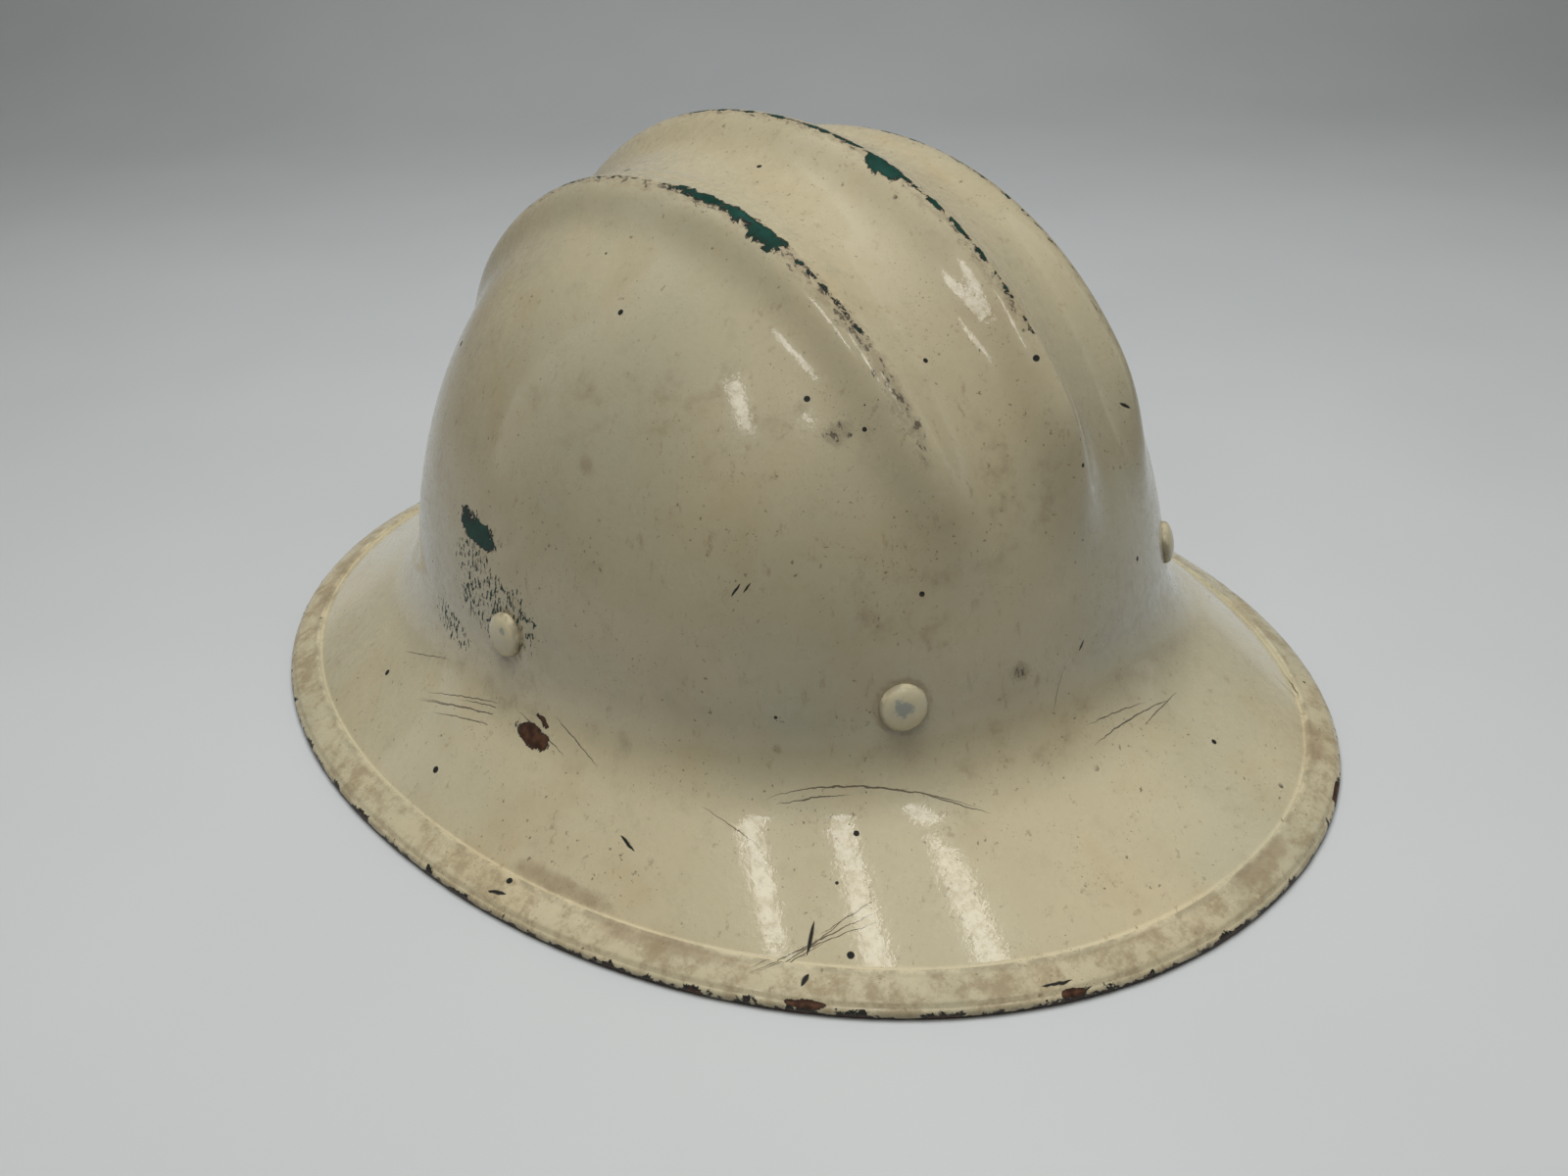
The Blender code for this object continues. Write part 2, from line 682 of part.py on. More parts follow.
def make_nape_strap():
    """The tongue: riveted to the left end, under the far bar, over the heel bar, through the keeper."""
    on_band = GAP + STRAP_THICKNESS / 2
    over_heel = HEEL_BAR[1] + BUCKLE_WIRE + BAR_CLEARANCE + CHAPE_THICKNESS + GAP + STRAP_THICKNESS / 2
    in_keeper = GAP * 3 + KEEPER_WALL + CHAPE_THICKNESS + STRAP_THICKNESS / 2
    path = [(-0.0430, on_band), (-0.0110, on_band), (0.0070, over_heel), (0.0105, over_heel),
            (0.0200, in_keeper), (STRAP_END_S, in_keeper)]
    outline = strip_outline(strap_line(path, 0.0018), STRAP_THICKNESS)
    mesh = plate_mesh("nape_strap", [outline], STRAP_WIDTH / 2, STRAP_LEVEL)
    strap = add_part("nape_strap", mesh, BROWN_LEATHER)
    slot_middle = (PRONG_SLOT[0] + PRONG_SLOT[1]) / 2
    slot_length = PRONG_SLOT[1] - PRONG_SLOT[0]
    cut_slot(strap, strap_frame(slot_middle, 0.005), (slot_length, PRONG_SLOT_HEIGHT, 0.008))
    for s in STRAP_HOLES:
        drill(strap, strap_frame(s, 0.004), STRAP_HOLE_RADIUS, 0.008)
    for place, s in STRAP_RIVETS.items():
        if place.startswith("left"):
            drill(strap, strap_frame(s, on_band), SMALL_SHANK_RADIUS + GAP, 0.006)


def make_chape():
    """The short strip that loops round the buckle's heel bar and is riveted to the right end."""
    on_band = GAP + CHAPE_THICKNESS / 2
    in_keeper = 2 * GAP + KEEPER_WALL + CHAPE_THICKNESS / 2
    heel = strap_point(*HEEL_BAR)
    line = strap_line([(0.0125, in_keeper), (0.0280, in_keeper), (0.0320, on_band), (0.0450, on_band)])
    eye_radius = BUCKLE_WIRE + BAR_CLEARANCE
    outline = eyed_outline([heel, *line], CHAPE_THICKNESS, eye_radius + CHAPE_THICKNESS)
    eye = arc(heel, eye_radius, 0, 330, 12)
    mesh = plate_mesh("buckle_chape", [outline, eye], STRAP_WIDTH / 2, STRAP_LEVEL)
    chape = add_part("buckle_chape", mesh, BROWN_LEATHER)
    slot = strap_frame(HEEL_BAR[0] - 0.001, HEEL_BAR[1])
    cut_slot(chape, slot, (0.0080, PRONG_SLOT_HEIGHT, 0.008))
    for place, s in STRAP_RIVETS.items():
        if place.startswith("right"):
            drill(chape, strap_frame(s, on_band), SMALL_SHANK_RADIUS + GAP, 0.006)


def make_buckle_frame():
    """A wire rectangle with round corners; its origin is on the heel bar, its hinge."""
    heel = Vector((*strap_point(*HEEL_BAR), 0))
    far = Vector((*strap_point(*FAR_BAR), 0))
    along = (heel - far).normalized()
    length = (heel - far).length
    corners = [(length, 1, 0), (0, 1, 90), (0, -1, 180), (length, -1, 270)]
    points = []
    for x, side, start in corners:
        inward = BUCKLE_CORNER if x == 0 else -BUCKLE_CORNER
        centre = (x + inward, side * (BUCKLE_HALF_HEIGHT - BUCKLE_CORNER))
        for across, up in arc(centre, BUCKLE_CORNER, start, start + 90, 4):
            points.append(far - heel + along * across + Vector((0, 0, up)))
    frame = add_part("buckle_frame", loop_mesh("buckle_frame", points, BUCKLE_WIRE), STEEL)
    frame.location = (heel.x, heel.y, STRAP_Z)


def make_buckle_prong():
    """A pin that turns on the heel bar, comes up through the strap and rests on the far bar."""
    heel = strap_point(*HEEL_BAR)
    over_far = FAR_BAR[1] + BUCKLE_WIRE + GAP + PRONG_THICKNESS / 2
    path = [(0.0074, 0.0038), (0.0040, 0.0052), (0.0005, 0.0060), (-0.0050, 0.0059),
            (FAR_BAR[0], over_far), (-0.0132, over_far - 0.0002)]
    line = [heel] + [strap_point(s, d) for s, d in path]
    eye_radius = BUCKLE_WIRE + BAR_CLEARANCE
    outline = eyed_outline(line, PRONG_THICKNESS, eye_radius + CHAPE_THICKNESS)
    outline = [(x - heel[0], y - heel[1]) for x, y in outline]
    eye = arc((0, 0), eye_radius, 0, 330, 12)
    mesh = plate_mesh("buckle_prong", [outline, eye], PRONG_WIDTH / 2, Matrix())
    prong = add_part("buckle_prong", mesh, STEEL)
    prong.location = (*heel, STRAP_Z)


def make_keeper():
    """A leather loop round the chape and the strap's free end."""
    depth = CHAPE_THICKNESS + STRAP_THICKNESS + 3 * GAP
    height = STRAP_WIDTH + 4 * GAP
    base = GAP + KEEPER_WALL
    middle = base + depth / 2
    outlines = []
    for grow in (KEEPER_WALL, 0):
        half_d = depth / 2 + grow
        half_z = height / 2 + grow
        outlines.append([(half_z, half_d), (-half_z, half_d), (-half_z, -half_d), (half_z, -half_d)])
    place = strap_frame(KEEPER_S, middle)
    out = place.to_3x3().col[2]
    frame = frame_matrix(place.translation, (0, 0, 1), out)
    mesh = plate_mesh("strap_keeper", outlines, KEEPER_LENGTH / 2, frame)
    add_part("strap_keeper", mesh, BROWN_LEATHER)


def make_strap_rivets():
    for place, s in STRAP_RIVETS.items():
        leather = STRAP_THICKNESS if place.startswith("left") else CHAPE_THICKNESS
        seat = 2 * GAP + leather
        clinch_top = -HEADBAND_THICKNESS - GAP
        clinch_low = clinch_top - SMALL_CLINCH_HEIGHT
        profile = [
            (0, seat + SMALL_HEAD_HEIGHT),
            (SMALL_HEAD_RADIUS * 0.55, seat + SMALL_HEAD_HEIGHT * 0.85),
            (SMALL_HEAD_RADIUS, seat + SMALL_HEAD_HEIGHT * 0.3),
            (SMALL_HEAD_RADIUS, seat),
            (SMALL_SHANK_RADIUS, seat),
            (SMALL_SHANK_RADIUS, clinch_top),
            (SMALL_CLINCH_RADIUS, clinch_top),
            (SMALL_CLINCH_RADIUS, clinch_low),
            (0, clinch_low),
        ]
        name = "strap_rivet_" + place
        rivet = add_part(name, turned_mesh(name, profile, 12), BRASS)
        rivet.matrix_world = strap_frame(s, 0)


clear_scene()
hat = new_collection("hard_hat")
cutters = new_collection("cutters")
make_shell()
make_rivets()
make_cradle()
make_crown_lace()
make_headband()
make_sweatband()
make_nape_strap()
make_chape()
make_buckle_frame()
make_buckle_prong()
make_keeper()
make_strap_rivets()
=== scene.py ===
"""Looks of the full-brim hard hat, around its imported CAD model.

The shell, its rivets, the webbing, the leather and the buckle are fine meshes with node materials.
Lengths are metres, +Z is up and -Y is the front of the hat, as in the frame.
"""

from math import asin, atan2, cos, degrees, hypot, pi, radians, sin

import bmesh
import bpy
import numpy as np
from mathutils import Matrix, Vector


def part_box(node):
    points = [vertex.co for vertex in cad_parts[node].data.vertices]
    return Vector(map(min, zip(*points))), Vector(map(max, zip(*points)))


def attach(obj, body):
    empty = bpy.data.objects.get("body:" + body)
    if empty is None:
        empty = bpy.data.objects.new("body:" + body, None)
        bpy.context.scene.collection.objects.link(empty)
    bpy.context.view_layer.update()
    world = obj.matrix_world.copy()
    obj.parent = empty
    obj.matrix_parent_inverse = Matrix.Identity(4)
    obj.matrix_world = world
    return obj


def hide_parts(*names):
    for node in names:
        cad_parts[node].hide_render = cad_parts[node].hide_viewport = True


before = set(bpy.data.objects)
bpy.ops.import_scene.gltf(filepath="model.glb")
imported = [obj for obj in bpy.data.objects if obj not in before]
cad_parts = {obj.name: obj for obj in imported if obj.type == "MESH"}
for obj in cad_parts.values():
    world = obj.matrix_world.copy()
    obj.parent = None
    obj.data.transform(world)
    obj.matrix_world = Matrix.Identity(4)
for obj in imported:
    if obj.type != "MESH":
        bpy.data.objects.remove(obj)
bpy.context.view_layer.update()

MM = 0.001
UP = Vector((0, 0, 1))

# ---------------------------------------------------------------- sizes shared with the CAD model

shell_low, shell_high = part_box("shell")
RIM_HALF_WIDTH = shell_high[0]
RIM_HALF_LENGTH = shell_high[1]
RIM_POWER = 2.09
BAND_WIDTH = 9.3 * MM
BAND_FOOT_Z = 5.6 * MM
BAND_TOP_Z = 6.4 * MM
RIM_EDGE_Z = 2.8 * MM

CROWN_HALF_WIDTH = 98.4 * MM
CROWN_HALF_LENGTH = 110.0 * MM
CROWN_POWER = 2.17
CROWN_Y = -2.0 * MM
CROWN_BASE_Z = 15.8 * MM
CENTRE_RIB_HEIGHT = 7.9 * MM
CROWN_TOP_Z = shell_high[2] - CENTRE_RIB_HEIGHT
CROWN_FALL_POWER = 2.20
CROWN_RISE_POWER = 2.09
WALL = 2.6 * MM
CORNER_Z = 32.0 * MM
FILLET_RISE = 14.0 * MM
FILLET_SHARE = 0.30

RIB_X = 36.0 * MM
SIDE_RIB_SPREAD = 7.2 * MM
CENTRE_RIB_SPREAD = 8.0 * MM
SIDE_RIB_HEIGHT = 5.4 * MM
RIB_START_FRONT = 0.36
RIB_START_REAR = 0.44
RIB_RUN = 0.29

RIVET_Z = 48.1 * MM
RIVET_AZIMUTHS = {
    "front_left": -120, "side_left": -180, "rear_left": 120,
    "front_right": -60, "side_right": 0, "rear_right": 60,
}
RIVET_HEAD_RADIUS = 5.75 * MM
RIVET_HEAD_HEIGHT = 2.7 * MM
RIVET_SHANK_RADIUS = 2.2 * MM
WASHER_THICKNESS = 0.8 * MM
# The worn spot on a rivet's head: its middle and its spread, in millimetres
RIVET_WEAR = {"front_left": (-0.8, 0.6, 2.6)}
RIVET_WEAR_ELSEWHERE = (1.5, 2.0, 1.2)
# Profiles in millimetres: (radius, height above the top of the clinched end or of the washer)
RIVET_CLINCH = [
    (2.2, 0.0), (3.4, 0.0), (4.1, -0.25), (4.2, -0.6), (3.5, -1.05), (1.9, -1.1), (1.3, -0.6), (0.0, -0.5),
]
WASHER_PROFILE = [
    (2.6, 0.0), (6.2, 0.0), (6.5, -0.25), (6.5, -0.6), (6.3, -0.8), (2.6, -0.8), (2.6, 0.0),
]
STRAP_RIVET_CLINCH = [(1.1, 0.0), (1.7, 0.0), (1.9, -0.3), (1.5, -0.6), (0.7, -0.55), (0.0, -0.3)]

TAPE_WIDTH = 19.0 * MM
TAPE_THICKNESS = 1.3 * MM
TAPE_STANDOFF = 0.5 * MM
TAPE_TOP_Z = 56.0 * MM
TAPE_TURN_Z = 28.5 * MM
TAPE_BEND_Z = 85.0 * MM
TAPE_TURN_RADIUS = 2.1 * MM
EYE_RADIUS = 2.45 * MM
LACE_RADIUS = 1.5 * MM
LACE_APOTHEM = 24.0 * MM
LACE_Z = 114.0 * MM

HEADBAND_OUTER = (79.6 * MM, 99.6 * MM)
HEADBAND_THICKNESS = 1.6 * MM
HEADBAND_LOW_Z = 8.0 * MM
HEADBAND_HIGH_Z = 42.0 * MM
HEAD_OVAL = (75.0 * MM, 95.0 * MM)
SWEATBAND_THICKNESS = 1.8 * MM
SWEATBAND_LOW_Z = 7.0 * MM
SWEATBAND_HIGH_Z = 40.0 * MM

STRAP_Z = 17.0 * MM
STRAP_WIDTH = 12.0 * MM
STRAP_THICKNESS = 1.3 * MM
CHAPE_THICKNESS = 1.0 * MM
HEADBAND_GAP = (-14.0 * MM, 8.5 * MM)
HEEL_BAR = (9.0 * MM, 2.65 * MM)
FAR_BAR = (-11.0 * MM, 3.0 * MM)
BUCKLE_WIRE = 1.0 * MM
BUCKLE_HALF_HEIGHT = 8.2 * MM
BUCKLE_CORNER = 1.6 * MM
PRONG_RADIUS = 0.66 * MM
WIRE_CLEARANCE = 0.25 * MM
STRAP_RIVET_RADIUS = 2.6 * MM
STRAP_RIVETS = {"left_inner": -31.0, "left_outer": -38.0, "right_inner": 35.0, "right_outer": 41.0}
KEEPER_WALL = 0.8 * MM
KEEPER_MIDDLE = 25.0 * MM
KEEPER_WIDTH = 5.0 * MM
GAP = 0.3 * MM

# ---------------------------------------------------------------- view and light

CAMERA_AZIMUTH = -44.1
CAMERA_ELEVATION = 29.8
CAMERA_ROLL = -1.7
CAMERA_DISTANCE = 0.412
CAMERA_AIM = (-0.0108, -0.0131, 0.0295)
LENS = 33.3
SENSOR_WIDTH = 36

# Metres away from the camera and up, watts, and the world's strength to the left and right
LAMP_SIDES = {"lamp_left": -0.22, "lamp_middle": 0.0, "lamp_right": 0.20}
LAMP_COLOUR = (1.0, 0.97, 0.90)
LAMP_FORWARD = -0.40
LAMP_HEIGHT = 0.55
LAMP_SIZE = (0.055, 0.190)
LAMP_POWER = 0.22
CEILING_FORWARD = 0.05
CEILING_HEIGHT = 1.0
CEILING_SIZE = 0.8
CEILING_POWER = 10.2
FRONT_SHARE = 0.05
FRONT_DARK = 0.0
FRONT_LIGHT = 0.60
AROUND_LEFT = 1.30
AROUND_RIGHT = 1.15
AROUND_COLOUR = (1.0, 0.985, 0.955, 1)
PAPER_TONES = ((0.510, 0.530, 0.530), (0.545, 0.565, 0.565))
PAPER_BEND = 0.5
PAPER_FLAT = 0.7
PAPER_FAR = 3.0
PAPER_HALF_WIDTH = 4.0


# ---------------------------------------------------------------- mesh helpers

MERGE_DISTANCE = 1e-7


def smooth_step(value):
    """0 at 0, 1 at 1 and smooth between."""
    value = np.clip(value, 0.0, 1.0)
    return value * value * (3 - 2 * value)


def arc(centre, radius, start, end, count):
    """Points on a circle between two angles in degrees, both ends included."""
    angles = [radians(start + (end - start) * i / (count - 1)) for i in range(count)]
    return [(centre[0] + radius * cos(a), centre[1] + radius * sin(a)) for a in angles]


def linked(name, data):
    """A new object in the scene."""
    obj = bpy.data.objects.new(name, data)
    bpy.context.scene.collection.objects.link(obj)
    return obj


def mesh_of(work, name):
    """A new mesh from a bmesh, which it frees."""
    mesh = bpy.data.meshes.new(name)
    work.to_mesh(mesh)
    work.free()
    return mesh


def sharpen(mesh, angle):
    """Keeps edges steeper than the angle in degrees crisp, where the rest is shaded smooth."""
    mesh.set_sharp_from_angle(angle=radians(angle))


def add_piece(name, mesh, material, body="hat"):
    """A visible piece, smooth shaded, on a body of the CAD model and in a material slot."""
    obj = linked(name, mesh)
    mesh.shade_smooth()
    mesh.materials.clear()
    mesh.materials.append(material)
    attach(obj, body)
    return obj


def grid_mesh(name, points, close_rows=False, close_columns=False):
    """A quad mesh over rows by columns of points, with a UV map in metres along columns and rows."""
    points = np.asarray(points, dtype=float)
    rows, columns = points.shape[:2]
    row_last = rows if close_rows else rows - 1
    column_last = columns if close_columns else columns - 1
    i, j = np.meshgrid(np.arange(row_last), np.arange(column_last), indexing="ij")
    i, j = i.ravel(), j.ravel()
    down, right = (i + 1) % rows, (j + 1) % columns
    upper, lower = i * columns, down * columns
    faces = np.stack([upper + j, lower + j, lower + right, upper + right], axis=1)
    mesh = bpy.data.meshes.new(name)
    mesh.from_pydata(points.reshape(-1, 3).tolist(), [], faces.tolist())
    along = np.linalg.norm(np.diff(points, axis=0), axis=2).mean(axis=1)
    across = np.linalg.norm(np.diff(points, axis=1), axis=2).mean(axis=0)
    v = np.concatenate([[0], np.cumsum(along)])
    u = np.concatenate([[0], np.cumsum(across)])
    v = np.append(v, v[-1] + along.mean())
    u = np.append(u, u[-1] + across.mean())
    corners = np.stack([
        np.stack([u[j], v[i]], 1), np.stack([u[j], v[i + 1]], 1),
        np.stack([u[j + 1], v[i + 1]], 1), np.stack([u[j + 1], v[i]], 1),
    ], axis=1)
    layer = mesh.uv_layers.new(name="UVMap")
    layer.data.foreach_set("uv", corners.ravel())
    return mesh


def applied(obj):
    """Turns the object's modifiers into its mesh."""
    bpy.context.view_layer.update()
    evaluated = obj.evaluated_get(bpy.context.evaluated_depsgraph_get())
    mesh = bpy.data.meshes.new_from_object(evaluated)
    obj.modifiers.clear()
    obj.data = mesh
    return obj


def add_bevel(obj, width, limit):
    """Rounds the edges that are steeper than the limit in degrees."""
    edge = obj.modifiers.new("edge", "BEVEL")
    edge.width = width
    edge.segments = 2
    edge.limit_method = "ANGLE"
    edge.angle_limit = radians(limit)


def thicken(obj, thickness, bevel=0.0):
    """Gives an open sheet its thickness, half on each side, with softened edges."""
    solid = obj.modifiers.new("thickness", "SOLIDIFY")
    solid.thickness = thickness
    solid.offset = 0
    if bevel:
        add_bevel(obj, bevel, 50)
    return applied(obj)


def turned_mesh(name, profile, steps, matrix):
    """A profile of (r, z) turned about the Z axis of a frame; ends on the axis close it."""
    work = bmesh.new()
    loops = []
    for r, z in profile:
        if r < MERGE_DISTANCE:
            loops.append([work.verts.new(matrix @ Vector((0, 0, z)))])
            continue
        ring = [2 * pi * k / steps for k in range(steps)]
        loops.append([work.verts.new(matrix @ Vector((r * cos(a), r * sin(a), z))) for a in ring])
    for upper, lower in zip(loops, loops[1:]):
        for k in range(steps):
            m = (k + 1) % steps
            places = ((upper, k), (lower, k), (lower, m), (upper, m))
            unique = list(dict.fromkeys(loop[place % len(loop)] for loop, place in places))
            if len(unique) > 2:
                work.faces.new(unique)
    bmesh.ops.remove_doubles(work, verts=work.verts, dist=MERGE_DISTANCE)
    bmesh.ops.recalc_face_normals(work, faces=work.faces)
    return mesh_of(work, name)


def tube_mesh(name, points, radius, sides=16, closed=False, flatten=1.0):
    """A round wire along the points, with its UV map in metres; flatten scales its height."""
    points = [Vector(point) for point in points]
    count = len(points)
    if closed:
        ahead = [points[(i + 1) % count] - points[i - 1] for i in range(count)]
    else:
        ahead = [points[min(i + 1, count - 1)] - points[max(i - 1, 0)] for i in range(count)]
    side = ahead[0].cross(UP)
    if side.length < 1e-6:
        side = ahead[0].cross(Vector((0, 1, 0)))
    rings = []
    for point, direction in zip(points, ahead):
        side = (side - direction * (side.dot(direction) / direction.length_squared)).normalized()
        up = side.cross(direction).normalized()
        ring = []
        for k in range(sides):
            a = 2 * pi * k / sides
            ring.append(point + side * (radius * cos(a)) + up * (radius * flatten * sin(a)))
        rings.append(ring)
    mesh = grid_mesh(name, rings, close_rows=closed, close_columns=True)
    if not closed:
        cap_ends(mesh)
    return mesh


def cap_ends(mesh):
    """Closes the two open ends of a tube or ribbon."""
    work = bmesh.new()
    work.from_mesh(mesh)
    open_edges = [edge for edge in work.edges if edge.is_boundary]
    bmesh.ops.holes_fill(work, edges=open_edges, sides=0)
    bmesh.ops.recalc_face_normals(work, faces=work.faces)
    work.to_mesh(mesh)
    work.free()


def ribbon_mesh(name, line, low_z, high_z, thickness, closed=False, rows=8, wave=0.0):
    """A strip on its edge along a plan line, with rounded edges; wave makes it lie a little unevenly."""
    line = [Vector(point) for point in line]
    count = len(line)
    half = thickness / 2
    middle = (low_z + high_z) / 2
    section = [(half * cos(a), high_z - half + half * sin(a)) for a in np.linspace(0, pi, 7)]
    section += [(-half, z) for z in np.linspace(high_z - half, low_z + half, rows)[1:-1]]
    section += [(half * cos(a), low_z + half + half * sin(a)) for a in np.linspace(pi, 2 * pi, 7)]
    section += [(half, z) for z in np.linspace(low_z + half, high_z - half, rows)[1:-1]]
    rings = []
    for i in range(count):
        before = line[i - 1] if closed or i else line[i]
        after = line[(i + 1) % count] if closed else line[min(i + 1, count - 1)]
        run = (after - before).normalized()
        out = Vector((run.y, -run.x))
        ring = []
        for d, z in section:
            swing = wave * sin(i * 0.37) * sin(i * 0.11 + (z - middle) / (high_z - low_z) * 3)
            ring.append((*(line[i] + out * (d + swing)), z))
        rings.append(ring)
    mesh = grid_mesh(name, rings, close_rows=closed, close_columns=True)
    if not closed:
        cap_ends(mesh)
    return mesh


def stitch_mesh(name, places, length, radius):
    """Thread stitches: each place is (middle, direction, outward normal)."""
    work = bmesh.new()
    for middle, direction, normal in places:
        side = direction.cross(normal).normalized()
        turn = Matrix((direction, side, normal)).transposed().to_4x4()
        size = Matrix.Diagonal((length / 2, radius, radius, 1))
        frame_here = Matrix.Translation(middle) @ turn @ size
        bmesh.ops.create_uvsphere(work, u_segments=6, v_segments=5, radius=1, matrix=frame_here)
    return mesh_of(work, name)


# ---------------------------------------------------------------- node helpers


class Nodes:
    """Short calls for building the node tree given, or else a new material's."""

    def __init__(self, name, tree=None):
        self.tree = tree
        if tree is None:
            self.material = bpy.data.materials.new(name)
            self.material.use_nodes = True
            self.tree = self.material.node_tree
            self.shader = self.tree.nodes["Principled BSDF"]

    def add(self, kind, **settings):
        node = self.tree.nodes.new(kind)
        for key, value in settings.items():
            setattr(node, key, value)
        return node

    def put(self, socket, value):
        if hasattr(value, "is_linked"):
            self.tree.links.new(value, socket)
        else:
            socket.default_value = value

    def math(self, operation, a, b=0.0, c=0.0, clamp=False):
        node = self.add("ShaderNodeMath", operation=operation, use_clamp=clamp)
        for socket, value in zip(node.inputs, (a, b, c)):
            self.put(socket, value)
        return node.outputs[0]

    def times(self, a, b):
        return self.math("MULTIPLY", a, b)

    def minus(self, a, b, clamp=False):
        return self.math("SUBTRACT", a, b, clamp=clamp)

    def most(self, *values):
        """The greatest of the values."""
        total = values[0]
        for value in values[1:]:
            total = self.math("MAXIMUM", total, value)
        return total

    def position(self):
        return self.add("ShaderNodeTexCoord").outputs["Object"]

    def normal(self):
        return self.add("ShaderNodeTexCoord").outputs["Normal"]

    def uv(self):
        return self.add("ShaderNodeUVMap", uv_map="UVMap").outputs[0]

    def field(self, name):
        return self.add("ShaderNodeAttribute", attribute_name=name).outputs["Fac"]

    def split(self, vector):
        node = self.add("ShaderNodeSeparateXYZ")
        self.put(node.inputs[0], vector)
        return node.outputs

    def noise(self, scale, detail=3.0, rough=0.55, warp=0.0, stretch=None):
        """Smooth noise about 0.5; scale is in waves per metre, and stretch is a factor on it per axis."""
        vector = self.position()
        if stretch:
            node = self.add("ShaderNodeVectorMath", operation="MULTIPLY")
            self.put(node.inputs[0], vector)
            node.inputs[1].default_value = stretch
            vector = node.outputs[0]
        node = self.add("ShaderNodeTexNoise")
        self.put(node.inputs["Vector"], vector)
        node.inputs["Scale"].default_value = scale
        node.inputs["Detail"].default_value = detail
        node.inputs["Roughness"].default_value = rough
        node.inputs["Distortion"].default_value = warp
        return node.outputs["Fac"]

    def cells(self, scale, feature="F1"):
        """Distance to the nearest of scattered points, or to the edge between their cells."""
        node = self.add("ShaderNodeTexVoronoi", feature=feature)
        self.put(node.inputs["Vector"], self.position())
        node.inputs["Scale"].default_value = scale
        return node.outputs["Distance"]

    def ramp(self, value, low, high):
        """0 below low, 1 above high, smooth between; falls instead where low is above high."""
        node = self.add("ShaderNodeMapRange", interpolation_type="SMOOTHSTEP", clamp=True)
        self.put(node.inputs["Value"], value)
        if low <= high:
            ends = (low, high, 0.0, 1.0)
        else:
            ends = (high, low, 1.0, 0.0)
        for socket, end in zip(("From Min", "From Max", "To Min", "To Max"), ends):
            node.inputs[socket].default_value = end
        return node.outputs["Result"]

    def mix(self, share, a, b):
        """A colour between a and b."""
        node = self.add("ShaderNodeMix", data_type="RGBA", clamp_factor=True)
        self.put(node.inputs["Factor"], share)
        for socket, value in ((node.inputs[6], a), (node.inputs[7], b)):
            self.put(socket, value if hasattr(value, "is_linked") else (*value, 1))
        return node.outputs[2]

    def blend(self, share, a, b):
        """A number between a and b."""
        node = self.add("ShaderNodeMix", data_type="FLOAT", clamp_factor=True)
        self.put(node.inputs["Factor"], share)
        self.put(node.inputs[2], a)
        self.put(node.inputs[3], b)
        return node.outputs[0]

    def over(self, colour, mask, most, tone):
        """The colour with a tone laid over it where the mask is up, covering it by most at the most."""
        return self.mix(self.times(mask, most), colour, tone)

    def bump(self, height, distance, strength=1.0, under=None):
        """A normal that follows a height, on top of the normal under it."""
        node = self.add("ShaderNodeBump")
        node.inputs["Strength"].default_value = strength
        node.inputs["Distance"].default_value = distance
        self.put(node.inputs["Height"], height)
        if under is not None:
            self.put(node.inputs["Normal"], under)
        return node.outputs[0]

    def finish(self, colour, roughness, normal, metallic=0.0, **constants):
        """Fills the shader's sockets and returns the material."""
        self.put(self.shader.inputs["Base Color"], colour)
        self.put(self.shader.inputs["Roughness"], roughness)
        self.put(self.shader.inputs["Metallic"], metallic)
        self.put(self.shader.inputs["Normal"], normal)
        for name, value in constants.items():
            self.shader.inputs[name.replace("_", " ")].default_value = value
        return self.material


# What a stroke's group is told: its middle in degrees round and mm up, mm per degree, and its shape
STROKE_VALUES = (
    "At Around", "At Up", "Radius", "Lean Cos", "Lean Sin", "Half Length", "Half Width", "Bend",
)


def stroke_group():
    """A node group for one scratch or crack: a bent line in (degrees round, distance up the skin)."""
    tree = bpy.data.node_groups.new("stroke", "ShaderNodeTree")
    for socket in ("Around", "Up", *STROKE_VALUES):
        tree.interface.new_socket(socket, in_out="INPUT", socket_type="NodeSocketFloat")
    tree.interface.new_socket("Mask", in_out="OUTPUT", socket_type="NodeSocketFloat")
    start = tree.nodes.new("NodeGroupInput").outputs
    end = tree.nodes.new("NodeGroupOutput").inputs

    math = Nodes("stroke", tree).math
    x = math("MULTIPLY", math("SUBTRACT", start["Around"], start["At Around"]), start["Radius"])
    y = math("SUBTRACT", start["Up"], start["At Up"])
    along = math("ADD", math("MULTIPLY", x, start["Lean Cos"]), math("MULTIPLY", y, start["Lean Sin"]))
    aside = math("SUBTRACT", math("MULTIPLY", y, start["Lean Cos"]), math("MULTIPLY", x, start["Lean Sin"]))
    bent = math("MULTIPLY_ADD", math("MULTIPLY", along, along), start["Bend"], aside)
    share = math("DIVIDE", math("ABSOLUTE", along), start["Half Length"])
    taper = math("SUBTRACT", 1.0, math("MULTIPLY", share, share))
    width = math("MULTIPLY", start["Half Width"], math("MAXIMUM", taper, 0.0001))
    near = math("SUBTRACT", 1.0, math("DIVIDE", math("ABSOLUTE", bent), width))
    inside = math("LESS_THAN", share, 1.0)
    mask = math("MULTIPLY", math("MINIMUM", math("MAXIMUM", math("MULTIPLY", near, 2.0), 0.0), 1.0), inside)
    tree.links.new(mask, end["Mask"])
    return tree


# ---------------------------------------------------------------- shell shape

SEGMENTS = 480
CROWN_ROWS = 130
FILLET_ROWS = 18
BRIM_ROWS = 36


